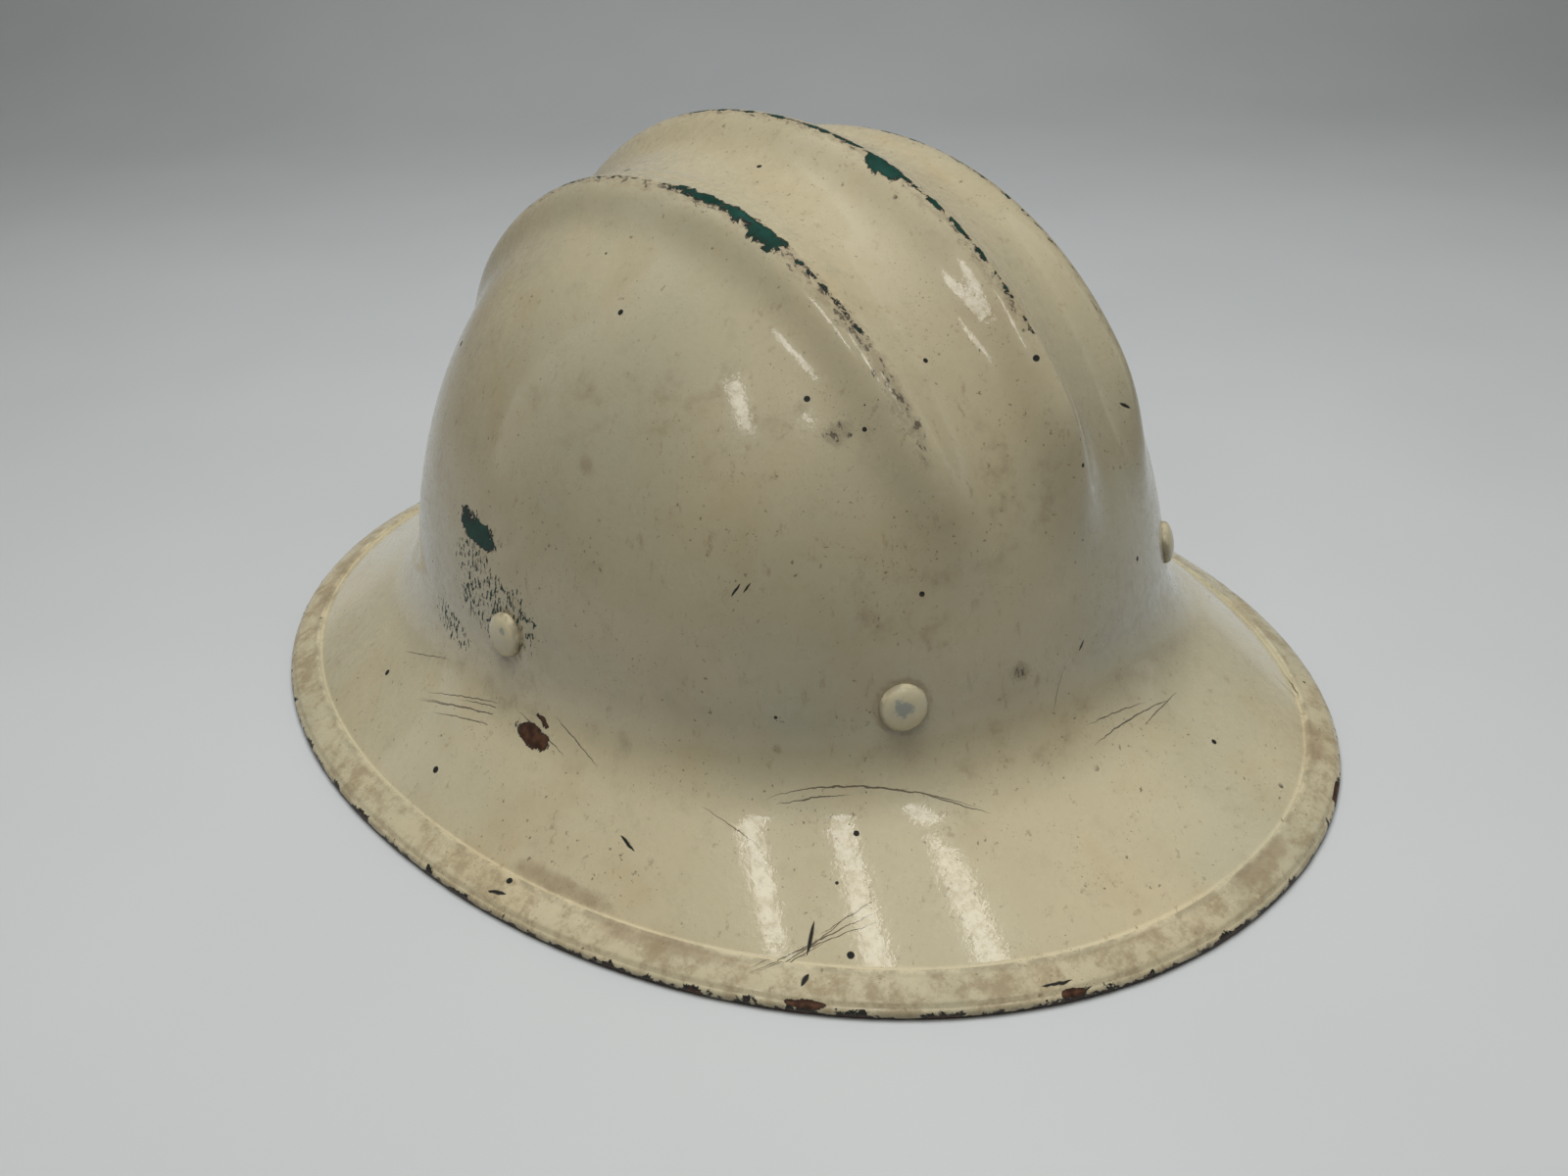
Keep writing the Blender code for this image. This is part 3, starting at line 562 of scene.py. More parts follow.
def oval_ring(half_width, half_length, power, z, middle_y=0.0):
    """A level super-ellipse."""
    turn = np.arange(SEGMENTS) * 2 * pi / SEGMENTS
    x = half_width * np.sign(np.cos(turn)) * np.abs(np.cos(turn)) ** (2 / power)
    y = half_length * np.sign(np.sin(turn)) * np.abs(np.sin(turn)) ** (2 / power)
    return np.stack([x, y + middle_y, np.full_like(x, z)], axis=1)


def crown_share(z):
    """The crown's width at a height, as a share of its width at the base."""
    rise = (z - CROWN_BASE_Z) / (CROWN_TOP_Z - CROWN_BASE_Z)
    return (1 - rise**CROWN_RISE_POWER) ** (1 / CROWN_FALL_POWER)


def crown_ring(z):
    """The crown's outline at a height."""
    share = crown_share(z)
    return oval_ring(CROWN_HALF_WIDTH * share, CROWN_HALF_LENGTH * share, CROWN_POWER, z, CROWN_Y)


def rim_ring(inset, z):
    """The rim's outline, drawn in by the inset."""
    return oval_ring(RIM_HALF_WIDTH - inset, RIM_HALF_LENGTH - inset, RIM_POWER, z)


def skin_rings():
    """The smooth outer surface from near the crown's top to the foot of the rim band."""
    fillet_top = CORNER_Z + FILLET_RISE
    height = CROWN_TOP_Z - CROWN_BASE_Z
    last_fall = np.arccos(((fillet_top - CROWN_BASE_Z) / height) ** (CROWN_RISE_POWER / 2))
    rings = []
    for step in range(1, CROWN_ROWS + 1):
        rise = np.cos(last_fall * step / CROWN_ROWS) ** (2 / CROWN_RISE_POWER)
        rings.append(crown_ring(CROWN_BASE_Z + height * rise))
    corner = crown_ring(CORNER_Z)
    foot = rim_ring(BAND_WIDTH, BAND_FOOT_Z)
    brim_start = corner + FILLET_SHARE * (foot - corner)
    wall_end = rings[-1]
    for t in np.linspace(0, 1, FILLET_ROWS + 1)[1:]:
        rings.append((1 - t) ** 2 * wall_end + 2 * t * (1 - t) * corner + t * t * brim_start)
    for t in np.linspace(0, 1, BRIM_ROWS + 1)[1:]:
        rings.append(brim_start + t * (foot - brim_start))
    return np.array(rings)


def surface_normals(rings):
    """Unit normals of a grid of rings, pointing out."""
    down = np.gradient(rings, axis=0)
    around = np.roll(rings, -1, axis=1) - np.roll(rings, 1, axis=1)
    normals = np.cross(down, around)
    return normals / np.linalg.norm(normals, axis=2, keepdims=True)


def rib_run(points):
    """How far a rib has risen at a point, from 0 at its ends to 1 over the crown."""
    rise = (points[..., 2] - CROWN_BASE_Z) / (CROWN_TOP_Z - CROWN_BASE_Z)
    front = smooth_step(0.5 - (points[..., 1] - CROWN_Y) / CROWN_HALF_LENGTH)
    start = RIB_START_REAR + (RIB_START_FRONT - RIB_START_REAR) * front
    return smooth_step((rise - start) / RIB_RUN)


def rib_height(points):
    """How far the three ribs lift the skin at a point."""
    height = np.zeros(points.shape[:-1])
    for rib_x, full, spread in (
        (-RIB_X, SIDE_RIB_HEIGHT, SIDE_RIB_SPREAD),
        (0.0, CENTRE_RIB_HEIGHT, CENTRE_RIB_SPREAD),
        (RIB_X, SIDE_RIB_HEIGHT, SIDE_RIB_SPREAD),
    ):
        height += full * np.exp(-(((points[..., 0] - rib_x) / spread) ** 2))
    return height * rib_run(points)


def rim_outline():
    """(inset, z) of the raised rim band, from its foot over its rounded edge to the flat foot."""
    slope = (BAND_TOP_Z - RIM_EDGE_Z) / BAND_WIDTH
    line = [(9.15 * MM, 5.72 * MM), (8.9 * MM, 6.05 * MM), (8.6 * MM, 6.35 * MM), (8.2 * MM, 6.42 * MM)]
    for inset in np.linspace(7.4, 1.4, 9) * MM:
        crown = 0.35 * MM * sin(pi * inset / BAND_WIDTH)
        line.append((inset, RIM_EDGE_Z + slope * inset + crown))
    line += [(RIM_EDGE_Z / 2 - i, RIM_EDGE_Z / 2 + z) for i, z in arc((0, 0), RIM_EDGE_Z / 2, 80, -90, 10)]
    line += [(2.6 * MM, 0.0), (4.2 * MM, 0.0)]
    return line


def low_wave(points, size, amount):
    """Slow unevenness of a hand-laid moulding."""
    x, y, z = (points[..., k] / size for k in range(3))
    one = np.sin(x + 1.7 * np.sin(y * 0.9))
    other = np.sin(y * 1.3 + 2.1 * np.sin(z * 0.7 + x * 0.4))
    return amount * (one + other) / 2


def shell_grid():
    """The outer skin with its ribs, the rim band, and the lining a wall thickness inside."""
    skin = skin_rings()
    skin = skin + surface_normals(skin) * rib_height(skin)[..., None]
    normals = surface_normals(skin)
    lining = skin - normals * WALL
    skin = skin + normals * low_wave(skin, 14 * MM, 0.12 * MM)[..., None]
    rim = [rim_ring(inset, z) for inset, z in rim_outline()]
    rim = np.array(rim)
    edge = np.exp(-((rim[..., 2] - 1.5 * MM) / (2 * MM)) ** 2)
    chipped = low_wave(rim, 2.3 * MM, 0.10 * MM) * edge
    rim[..., :2] *= (1 - np.abs(chipped) / RIM_HALF_LENGTH)[..., None]
    return skin, rim, lining


def skin_distance(rows):
    """Distance up the skin from the rim's outermost edge, at every point."""
    step = np.linalg.norm(np.diff(rows, axis=0), axis=2)
    down = np.concatenate([np.zeros((1, SEGMENTS)), np.cumsum(step, axis=0)])
    return down


def set_field(mesh, name, values):
    """Stores one number per point for the materials to read."""
    layer = mesh.attributes.new(name, "FLOAT", "POINT")
    layer.data.foreach_set("value", np.asarray(values, dtype=np.float32).ravel())


def spot(around, up, radius, at_around, at_up, half_length, half_width, lean=0.0):
    """A soft-edged oval patch on the skin, 1 in its middle and 0 at twice its size."""
    x = ((around - at_around + 180) % 360 - 180) * np.pi / 180 * radius
    y = up - at_up
    c, s = cos(radians(lean)), sin(radians(lean))
    along = (x * c + y * s) / half_length
    aside = (y * c - x * s) / half_width
    return np.clip(1.5 - 0.5 * (along**2 + aside**2) ** 0.5 * 2, 0, 1)


# Worn places on the skin: degrees round from +X, distance up from the rim, half sizes, lean
GREEN_PATCHES = [
    (170.0, 86.8, 11.0, 4.4, -13),
]
SPECKLED_PATCHES = [
    (177.0, 69.5, 16.0, 8.0, -4),
    (171.0, 77.0, 10.0, 5.0, -12),
    (164.0, 57.0, 10.0, 3.5, -14),
]
BARE_PATCHES = [
    (-171.6, 42.8, 6.8, 3.0, -6),
    (-170.6, 47.4, 3.2, 1.0, -20),
    (-133.5, 1.5, 5.5, 1.3, 0),
    (-74.0, 1.0, 6.0, 1.4, 0),
    (-112.0, 1.2, 3.5, 1.3, 0),
    (30.0, 1.0, 7.0, 1.6, 0),
    (100.0, 1.0, 9.0, 1.8, 0),
]
STAINED_PATCHES = [
    (-166.7, 113.0, 3.0, 2.4, 0),
    (-160.0, 14.0, 16.0, 3.0, 0),
    (-147.0, 8.5, 22.0, 3.0, 0),
    (-88.0, 8.0, 18.0, 3.2, 0),
    (-70.0, 9.0, 14.0, 3.0, 0),
    (60.0, 8.0, 25.0, 3.0, 0),
    (120.0, 9.0, 25.0, 3.0, 0),
]
SCUFFED_PATCHES = [
    (-125.5, 135.0, 5.0, 3.4, 40),
    (-135.5, 60.0, 1.8, 1.4, 0),
    (-104.0, 78.0, 4.0, 3.0, 0),
]
# Broad soft dirt
DIRTY_PATCHES = [
    (-150.0, 134.0, 34.0, 12.0, 12),
    (-158.0, 128.0, 14.0, 9.0, 30),
    (-120.0, 96.0, 20.0, 14.0, 0),
    (-172.0, 126.0, 24.0, 12.0, 0),
    (-112.0, 62.0, 30.0, 9.0, 0),
    (-175.0, 52.0, 40.0, 8.0, 0),
    (-100.0, 118.0, 16.0, 18.0, 0),
    (-90.0, 60.0, 40.0, 8.0, 0),
    (40.0, 60.0, 60.0, 9.0, 0),
    (110.0, 60.0, 60.0, 9.0, 0),
]


def paint_fields(mesh, points, up):
    """Where the paint is worn, from the ribs' crests and the worn places above."""
    x, y = points[..., 0], points[..., 1]
    around = np.degrees(np.arctan2(y - CROWN_Y, x))
    radius = np.hypot(x, y - CROWN_Y) / MM
    height = up / MM
    run = rib_run(points)

    def patches(places):
        total = np.zeros_like(x)
        for place in places:
            total = np.maximum(total, spot(around, height, radius, *place))
        return total

    def crest(rib_x, spread, start, end, fade=6 * MM):
        across = np.exp(-(((x - rib_x) / spread) ** 2))
        window = smooth_step((y - start) / fade) * smooth_step((end - y) / fade)
        return across * window * run

    green = patches(GREEN_PATCHES)
    green = np.maximum(green, 0.90 * crest(-RIB_X - 0.6 * MM, 3.2 * MM, -48 * MM, -3 * MM))
    green = np.maximum(green, 1.10 * crest(-RIB_X - 1.4 * MM, 3.4 * MM, -46 * MM, -30 * MM))
    green = np.maximum(green, 0.80 * crest(-0.4 * MM, 1.5 * MM, -90 * MM, 40 * MM))
    green = np.maximum(green, 1.15 * crest(-1.4 * MM, 2.8 * MM, -50 * MM, -32 * MM))
    green = np.maximum(green, 0.72 * crest(RIB_X + 1.0 * MM, 1.4 * MM, -70 * MM, 60 * MM))
    green = np.maximum(green, 0.74 * crest(-RIB_X - 1.0 * MM, 1.4 * MM, -72 * MM, 60 * MM))
    speckle = patches(SPECKLED_PATCHES)
    bare = patches(BARE_PATCHES)
    stain = np.maximum(patches(STAINED_PATCHES), 0.50 * patches(DIRTY_PATCHES))
    scuff = patches(SCUFFED_PATCHES)
    for rib_x, weight in ((-RIB_X - 1.5 * MM, 1.0), (-1.0 * MM, 0.9), (RIB_X + 1.5 * MM, 0.8)):
        scuff = np.maximum(scuff, weight * crest(rib_x, 3.4 * MM, -100 * MM, 70 * MM, 20 * MM))
    # A thin darker ring just outside each rivet head is added to the stain field.
    for azimuth in RIVET_AZIMUTHS.values():
        middle = np.array(crown_point(azimuth, RIVET_Z))
        gone = np.linalg.norm(points - middle, axis=-1)
        stain = np.maximum(stain, 1.05 * np.exp(-(((gone - 6.4 * MM) / (1.1 * MM)) ** 2)))
    for name, values in (("green", green), ("speckle", speckle), ("bare", bare), ("stain", stain),
                         ("scuff", scuff), ("around", around), ("up_skin", height)):
        set_field(mesh, name, values)


def crown_point(azimuth, z):
    """A point on the crown's outer wall, at degrees round from +X."""
    share = crown_share(z)
    a = radians(azimuth)
    across = abs(cos(a)) / (CROWN_HALF_WIDTH * share)
    along = abs(sin(a)) / (CROWN_HALF_LENGTH * share)
    r = (across**CROWN_POWER + along**CROWN_POWER) ** (-1 / CROWN_POWER)
    return Vector((r * cos(a), CROWN_Y + r * sin(a), z))


def make_shell(paint, laminate):
    """The whole moulding in one closed mesh, painted outside and bare inside."""
    skin, rim, lining = shell_grid()
    rows = np.concatenate([skin, rim, lining[::-2]])
    down = skin_distance(rows)
    edge_row = len(skin) + len(rim) - 8
    up = down[edge_row][None, :] - down
    top = np.full((1, SEGMENTS, 3), (0, CROWN_Y, CROWN_TOP_Z + CENTRE_RIB_HEIGHT))
    under = top - (0, 0, WALL)
    points = np.concatenate([top, rows, under])
    up = np.concatenate([up[:1] + np.linalg.norm(rows[:1] - top, axis=2), up, up[-1:]])
    mesh = grid_mesh("shell_skin", points, close_columns=True)
    paint_fields(mesh, points, up)
    shell = add_piece("shell_skin", mesh, paint)
    mesh.materials.append(laminate)
    inside_from = (len(skin) + len(rim)) * SEGMENTS
    slots = np.zeros(len(mesh.polygons), dtype=np.int32)
    slots[inside_from:] = 1
    mesh.polygons.foreach_set("material_index", slots)
    work = bmesh.new()
    work.from_mesh(mesh)
    bmesh.ops.remove_doubles(work, verts=work.verts, dist=MERGE_DISTANCE)
    bmesh.ops.recalc_face_normals(work, faces=work.faces)
    work.to_mesh(mesh)
    work.free()
    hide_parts("shell")


# ---------------------------------------------------------------- shell materials

CREAM = (0.600, 0.525, 0.345)
CREAM_GREY = (0.530, 0.488, 0.335)
CREAM_BROWN = (0.490, 0.385, 0.215)
CREAM_DULL = (0.340, 0.300, 0.195)
UNDER_GREEN = (0.004, 0.028, 0.019)
UNDER_GREEN_LIGHT = (0.010, 0.060, 0.044)
CHIP_EDGE = (0.018, 0.018, 0.016)
BARE_BROWN = (0.038, 0.017, 0.009)
BARE_BROWN_LIGHT = (0.105, 0.046, 0.024)
STAIN_BROWN = (0.250, 0.170, 0.095)
SCUFF_GREY = (0.190, 0.150, 0.098)
CRACK_DARK = (0.075, 0.060, 0.042)
RUBBED_DARK = (0.075, 0.060, 0.045)
SPECK_BROWN = (0.13, 0.095, 0.06)
DUST_BROWN = (0.12, 0.085, 0.05)
GRIME_BROWN = (0.290, 0.225, 0.130)
CORNER_DARK_TONE = (0.20, 0.17, 0.11)
RIVET_EDGE_DARK = (0.16, 0.13, 0.09)
WORN_GREY = (0.22, 0.25, 0.25)
RESIN_TONES = ((0.150, 0.062, 0.030), (0.235, 0.110, 0.052))
CANVAS_HIGH = (0.30, 0.17, 0.085)
RESIN_DUST = (0.30, 0.26, 0.20)
BLACK = (0, 0, 0)

# How much darker the crown's paint is than the brim's: part dirt, part the photograph's dim
# front light. It fades in between two distances up the skin, in mm
CROWN_DIRT_AND_SHADE = 0.22
DIRT_AND_SHADE_ENDS = (40.0, 68.0)
# The rim band's upper edge and inner corner, and where the overspray ends inside, in mm up the skin
BAND_ENDS = (10.4, 8.8)
BAND_CORNER = 10.2
OVERSPRAY_ENDS = (-56.0, -44.0)
CANVAS_WAVES = 3600

# Cracks and scratches: degrees round, distance up, radius there, lean, half length, half width, bend
STROKES = [
    (-125.0, 54.0, 112, 0, 24.0, 0.28, 0.0110),
    (-131.5, 50.0, 112, 16, 9.0, 0.20, 0.0060),
    (-116.0, 50.0, 116, -24, 9.0, 0.20, 0.0040),
    (174.5, 39.7, 104, 16, 19.0, 0.24, 0.0030),
    (173.0, 41.8, 104, 18, 15.0, 0.18, 0.0030),
    (176.0, 37.6, 104, 15, 14.0, 0.18, 0.0040),
    (171.0, 38.0, 106, 17, 12.0, 0.14, 0.0020),
    (178.0, 43.4, 103, 13, 11.0, 0.16, 0.0050),
    (-170.5, 44.6, 102, -14, 10.0, 0.26, 0.0060),
    (-164.0, 46.5, 102, -24, 9.0, 0.22, 0.0020),
    (-88.0, 54.0, 116, -6, 16.0, 0.24, 0.0080),
    (-90.0, 57.5, 116, -10, 11.0, 0.16, 0.0060),
    (-83.0, 51.0, 117, -2, 9.0, 0.16, 0.0060),
    (-58.6, 11.5, 145, 10, 7.0, 0.30, -0.0080),
    (-60.5, 15.0, 143, 60, 5.0, 0.20, 0.0100),
    (-132.4, 16.5, 136, 31, 18.0, 0.16, 0.0020),
    (-133.2, 14.8, 136, 38, 15.0, 0.13, -0.0030),
    (-131.0, 17.5, 136, 25, 13.0, 0.12, 0.0020),
    (-134.4, 12.0, 138, 34, 9.0, 0.13, 0.0000),
    (-129.0, 23.0, 133, 35, 8.0, 0.12, 0.0000),
    (-141.0, 40.0, 110, -25, 8.0, 0.12, 0.0100),
    (-98.0, 70.0, 108, 60, 6.0, 0.10, 0.0000),
    (160.0, 44.0, 106, 20, 12.0, 0.16, 0.0030),
    (70.0, 52.0, 112, 8, 18.0, 0.20, 0.0080),
    (100.0, 50.0, 112, -12, 12.0, 0.18, 0.0060),
    (20.0, 45.0, 104, 10, 14.0, 0.20, 0.0060),
]
DARK_MARKS = [
    (-132.6, 17.5, 134, 76, 4.2, 0.55, 0.0),
    (-133.3, 6.8, 142, 60, 1.8, 0.75, 0.0),
    (-153.0, 29.0, 116, -28, 2.6, 0.60, 0.0),
    (-70.6, 123.0, 95, -50, 2.0, 0.60, 0.0),
    (-166.0, 5.0, 150, 12, 3.0, 0.70, 0.0),
    (-113.0, 4.0, 150, 0, 3.5, 0.60, 0.0),
    (-93.0, 78.0, 106, 50, 1.6, 0.45, 0.0),
    (-140.5, 96.0, 92, 60, 2.0, 0.35, 0.0),
    (-139.0, 97.0, 92, 60, 1.6, 0.30, 0.0),
    (45.0, 90.0, 92, 20, 4.0, 0.40, 0.0),
    (110.0, 70.0, 100, -30, 5.0, 0.40, 0.0),
]


def stroke_mask(n, group, strokes):
    """The union of the strokes, on coordinates that wander a little, as a hand or a crack does."""
    wander = n.minus(n.noise(420, 2.0), 0.5)
    around = n.field("around")
    up = n.math("MULTIPLY_ADD", wander, 1.1, n.field("up_skin"))
    total = None
    for at_around, at_up, radius, lean, half_length, half_width, bend in strokes:
        node = n.add("ShaderNodeGroup", node_tree=group)
        n.put(node.inputs["Around"], around)
        n.put(node.inputs["Up"], up)
        values = (at_around, at_up, radius * pi / 180, cos(radians(lean)), sin(radians(lean)),
                  half_length, half_width, bend)
        for name, value in zip(STROKE_VALUES, values):
            node.inputs[name].default_value = value
        mask = node.outputs["Mask"]
        total = mask if total is None else n.most(total, mask)
    return total


def painted_shell(group):
    """Cream gloss over dark green over brown laminate, with the wear of each layer."""
    n = Nodes("aged_cream_paint")
    broad = n.noise(11, 3.0, 0.55)
    cloud = n.noise(38, 5.0, 0.62)
    blotch = n.noise(125, 5.0, 0.68)
    fine = n.noise(700, 3.0, 0.6)
    grit = n.noise(1500, 3.0, 0.65)
    up = n.field("up_skin")

    colour = n.mix(n.ramp(broad, 0.36, 0.64), CREAM, CREAM_GREY)
    colour = n.over(colour, n.ramp(cloud, 0.46, 0.74), 0.42, CREAM_BROWN)
    colour = n.over(colour, n.ramp(blotch, 0.52, 0.76), 0.26, CREAM_DULL)
    colour = n.over(colour, n.ramp(fine, 0.55, 0.80), 0.14, CREAM_DULL)
    # The crown's paint is darkened above the brim: part dirt, part painted shade.
    colour = n.over(colour, n.ramp(up, *DIRT_AND_SHADE_ENDS), CROWN_DIRT_AND_SHADE, BLACK)
    specks = n.times(n.ramp(n.noise(620, 3.0, 0.6), 0.665, 0.70), n.ramp(cloud, 0.40, 0.56))
    colour = n.over(colour, specks, 0.75, SPECK_BROWN)
    smears = n.noise(300, 5.0, 0.75, stretch=(1.0, 1.0, 0.35))
    colour = n.over(colour, n.ramp(smears, 0.58, 0.70), 0.44, STAIN_BROWN)
    dust = n.ramp(n.noise(1700, 2.0, 0.6), 0.66, 0.70)
    dust = n.times(dust, n.ramp(n.noise(52, 4.0, 0.7), 0.46, 0.62))
    colour = n.over(colour, dust, 0.70, DUST_BROWN)

    stain_level = n.math("MULTIPLY_ADD", n.minus(blotch, 0.5), 1.7, n.field("stain"))
    stain = n.ramp(stain_level, 0.35, 1.15)
    colour = n.over(colour, stain, 0.52, STAIN_BROWN)

    flecks = n.noise(520, 5.0, 0.75, stretch=(1.0, 0.45, 0.45))
    scuff_level = n.math("MULTIPLY_ADD", n.minus(flecks, 0.5), 2.0, n.field("scuff"))
    scuff = n.ramp(scuff_level, 0.50, 1.05)
    colour = n.over(colour, scuff, 0.42, SCUFF_GREY)
    scratch_noise = n.noise(820, 5.0, 0.75, stretch=(1.0, 0.4, 0.5))
    rubbed = n.ramp(n.math("MULTIPLY_ADD", n.field("scuff"), 0.26, scratch_noise), 0.77, 0.83)
    colour = n.over(colour, rubbed, 0.85, RUBBED_DARK)

    band = n.ramp(up, *BAND_ENDS)
    # The rim band is darkened evenly by a tenth: painted shade for the band's steeper outward slope.
    colour = n.over(colour, band, 0.10, BLACK)
    grime_noise = n.noise(150, 6.0, 0.75)
    grime = n.times(n.times(n.ramp(grime_noise, 0.42, 0.64), band), 0.72)
    colour = n.mix(grime, colour, GRIME_BROWN)
    # Darker in a thin, noise-broken line along the band's inner corner.
    corner = n.math("ABSOLUTE", n.minus(up, BAND_CORNER))
    corner_dark_line = n.times(n.ramp(corner, 1.5, 0.1), n.ramp(n.noise(140, 4.0, 0.7), 0.40, 0.62))
    colour = n.over(colour, corner_dark_line, 0.55, CORNER_DARK_TONE)

    strokes = stroke_mask(n, group, STROKES)
    marks = stroke_mask(n, group, DARK_MARKS)
    colour = n.over(colour, strokes, 0.80, CRACK_DARK)

    chip_noise = n.minus(n.noise(240, 6.0, 0.74, warp=0.5), 0.5)
    chip_level = n.math("MULTIPLY_ADD", chip_noise, 1.9, n.field("green"))
    chip_edge = n.ramp(chip_level, 0.67, 0.73)
    chip = n.ramp(chip_level, 0.79, 0.84)
    speck_noise = n.noise(1150, 3.0, 0.62, stretch=(1.0, 1.0, 0.42))
    speck_noise = n.math("MULTIPLY_ADD", n.minus(blotch, 0.5), 0.22, speck_noise)
    speck_spread = n.ramp(n.field("speckle"), 0.0, 0.6)
    speck_level = n.math("MULTIPLY_ADD", speck_spread, 0.20, speck_noise)
    speckle = n.ramp(speck_level, 0.74, 0.78)

    pit_pick = n.ramp(n.noise(31, 2.0, 0.5), 0.50, 0.55)
    pit_size = n.math("MULTIPLY_ADD", n.noise(80, 1.0), 0.13, 0.010)
    pits = n.times(n.math("LESS_THAN", n.cells(95), pit_size), pit_pick)

    rim_noise = n.minus(n.noise(150, 6.0, 0.74, warp=0.4), 0.5)
    rim_level = n.math("MULTIPLY_ADD", rim_noise, 12.0, up)
    rim_dark = n.ramp(rim_level, 0.25, -0.15)
    rim_bare = n.ramp(n.math("MULTIPLY_ADD", rim_noise, 10.0, up), -0.5, -1.0)

    bare_level = n.math("MULTIPLY_ADD", chip_noise, 1.4, n.field("bare"))
    bare_edge = n.ramp(bare_level, 0.58, 0.63)
    bare = n.ramp(bare_level, 0.66, 0.71)

    dark = n.most(chip_edge, bare_edge, pits, marks, rim_dark, speckle)
    colour = n.mix(dark, colour, CHIP_EDGE)
    green_tone = n.mix(n.ramp(blotch, 0.35, 0.7), UNDER_GREEN, UNDER_GREEN_LIGHT)
    colour = n.mix(n.most(chip, n.times(speckle, 0.7)), colour, green_tone)
    brown_tone = n.mix(n.ramp(n.noise(480, 4.0), 0.35, 0.7), BARE_BROWN, BARE_BROWN_LIGHT)
    colour = n.mix(n.most(bare, rim_bare), colour, brown_tone)

    worn = n.most(dark, chip, bare, rim_bare)
    rough = n.blend(n.ramp(cloud, 0.35, 0.75), 0.24, 0.40)
    rough = n.blend(n.most(scuff, stain, grime), rough, 0.60)
    rough = n.blend(worn, rough, 0.55)
    dull = n.most(n.times(scuff, 0.4), n.times(band, 0.45))
    mottle = n.blend(n.ramp(n.noise(480, 4.0, 0.7), 0.34, 0.60), 0.30, 0.85)
    coat = n.minus(mottle, n.most(dull, worn), clamp=True)
    n.put(n.shader.inputs["Coat Weight"], coat)

    peel = n.bump(n.noise(230, 3.0, 0.6), 0.30 * MM, 0.13)
    ripple = n.bump(n.noise(760, 3.0, 0.6), 0.05 * MM, 0.40, under=peel)
    n.put(n.shader.inputs["Coat Normal"], ripple)
    grain = n.bump(n.math("MULTIPLY_ADD", scuff, grit, fine), 0.06 * MM, 0.55, under=ripple)
    depth = n.most(worn, strokes)
    cut = n.bump(n.minus(1.0, depth), 0.16 * MM, 0.9, under=grain)
    return n.finish(colour, rough, cut, Coat_Roughness=0.02, IOR=1.45)


def weave_height(n, scale):
    """Plain canvas weave, laid on each surface along the two axes it faces least."""
    x, y, z = n.split(n.position())
    facing = n.split(n.normal())
    wave = [n.math("SINE", n.times(axis, scale)) for axis in (x, y, z)]
    total = None
    for k in range(3):
        woven = n.times(wave[(k + 1) % 3], wave[(k + 2) % 3])
        weight = n.math("POWER", n.math("ABSOLUTE", facing[k]), 2.0)
        part = n.times(woven, weight)
        total = part if total is None else n.math("ADD", total, part)
    return total


def laminate_material():
    """Brown resin over canvas, with cream overspray under the brim."""
    n = Nodes("resin_canvas")
    weave = weave_height(n, CANVAS_WAVES)
    cloud = n.noise(45, 4.0, 0.6)
    colour = n.mix(n.ramp(cloud, 0.3, 0.75), *RESIN_TONES)
    colour = n.over(colour, n.ramp(weave, 0.1, 0.9), 0.35, CANVAS_HIGH)
    dust = n.ramp(n.noise(160, 5.0, 0.7), 0.52, 0.75)
    colour = n.over(colour, dust, 0.30, RESIN_DUST)
    overspray_edge = n.math("MULTIPLY_ADD", n.minus(n.noise(120, 4.0), 0.5), 9.0, n.field("up_skin"))
    overspray = n.ramp(overspray_edge, *OVERSPRAY_ENDS)
    colour = n.over(colour, overspray, 0.88, CREAM)
    rough = n.blend(cloud, 0.36, 0.60)
    cloth = n.bump(weave, 0.18 * MM, 0.8)
    lumps = n.bump(n.noise(110, 4.0, 0.6), 0.5 * MM, 0.5, under=cloth)
    return n.finish(colour, rough, lumps, Coat_Weight=0.15, Coat_Roughness=0.3)


def rivet_paint():
    """The cream paint on a rivet head, worn at one spot and darker round its edge."""
    n = Nodes("painted_rivet")
    cloud = n.noise(120, 4.0, 0.6)
    colour = n.mix(n.ramp(cloud, 0.35, 0.7), CREAM, CREAM_GREY)
    wear_level = n.math("MULTIPLY_ADD", n.minus(n.noise(520, 4.0, 0.7), 0.5), 1.2, n.field("worn"))
    worn = n.ramp(wear_level, 0.62, 0.95)
    colour = n.over(colour, worn, 0.75, WORN_GREY)
    # The head's outer edge, next to the wall, is darkened in noisy patches.
    rim = n.times(n.ramp(n.field("radial"), 0.80, 1.0), n.ramp(n.noise(300, 3.0), 0.38, 0.55))
    colour = n.over(colour, rim, 0.55, RIVET_EDGE_DARK)
    grain = n.bump(n.noise(420, 4.0, 0.6), 0.12 * MM, 0.5)
    return n.finish(colour, n.blend(worn, 0.26, 0.42), grain, Coat_Weight=0.3, Coat_Roughness=0.15)


# ---------------------------------------------------------------- rivets and washers


def frame_matrix(origin, x_axis, y_axis):
    """A frame from its origin and two of its axes."""
    z_axis = Vector(x_axis).cross(Vector(y_axis))
    turn = Matrix((x_axis, y_axis, z_axis)).transposed().to_4x4()
    return Matrix.Translation(origin) @ turn


def rivet_frame(azimuth):
    """A frame on the crown wall with its Z straight out."""
    place = crown_point(azimuth, RIVET_Z)
    around = crown_point(azimuth + 1, RIVET_Z) - crown_point(azimuth - 1, RIVET_Z)
    up = crown_point(azimuth, RIVET_Z + MM) - crown_point(azimuth, RIVET_Z - MM)
    around.normalize()
    up = (up - around * up.dot(around)).normalized()
    return frame_matrix(place, around, up)


def profile_from(profile, top):
    """A profile in millimetres moved to its top's height, in metres."""
    return [(r * MM, top + z * MM) for r, z in profile]


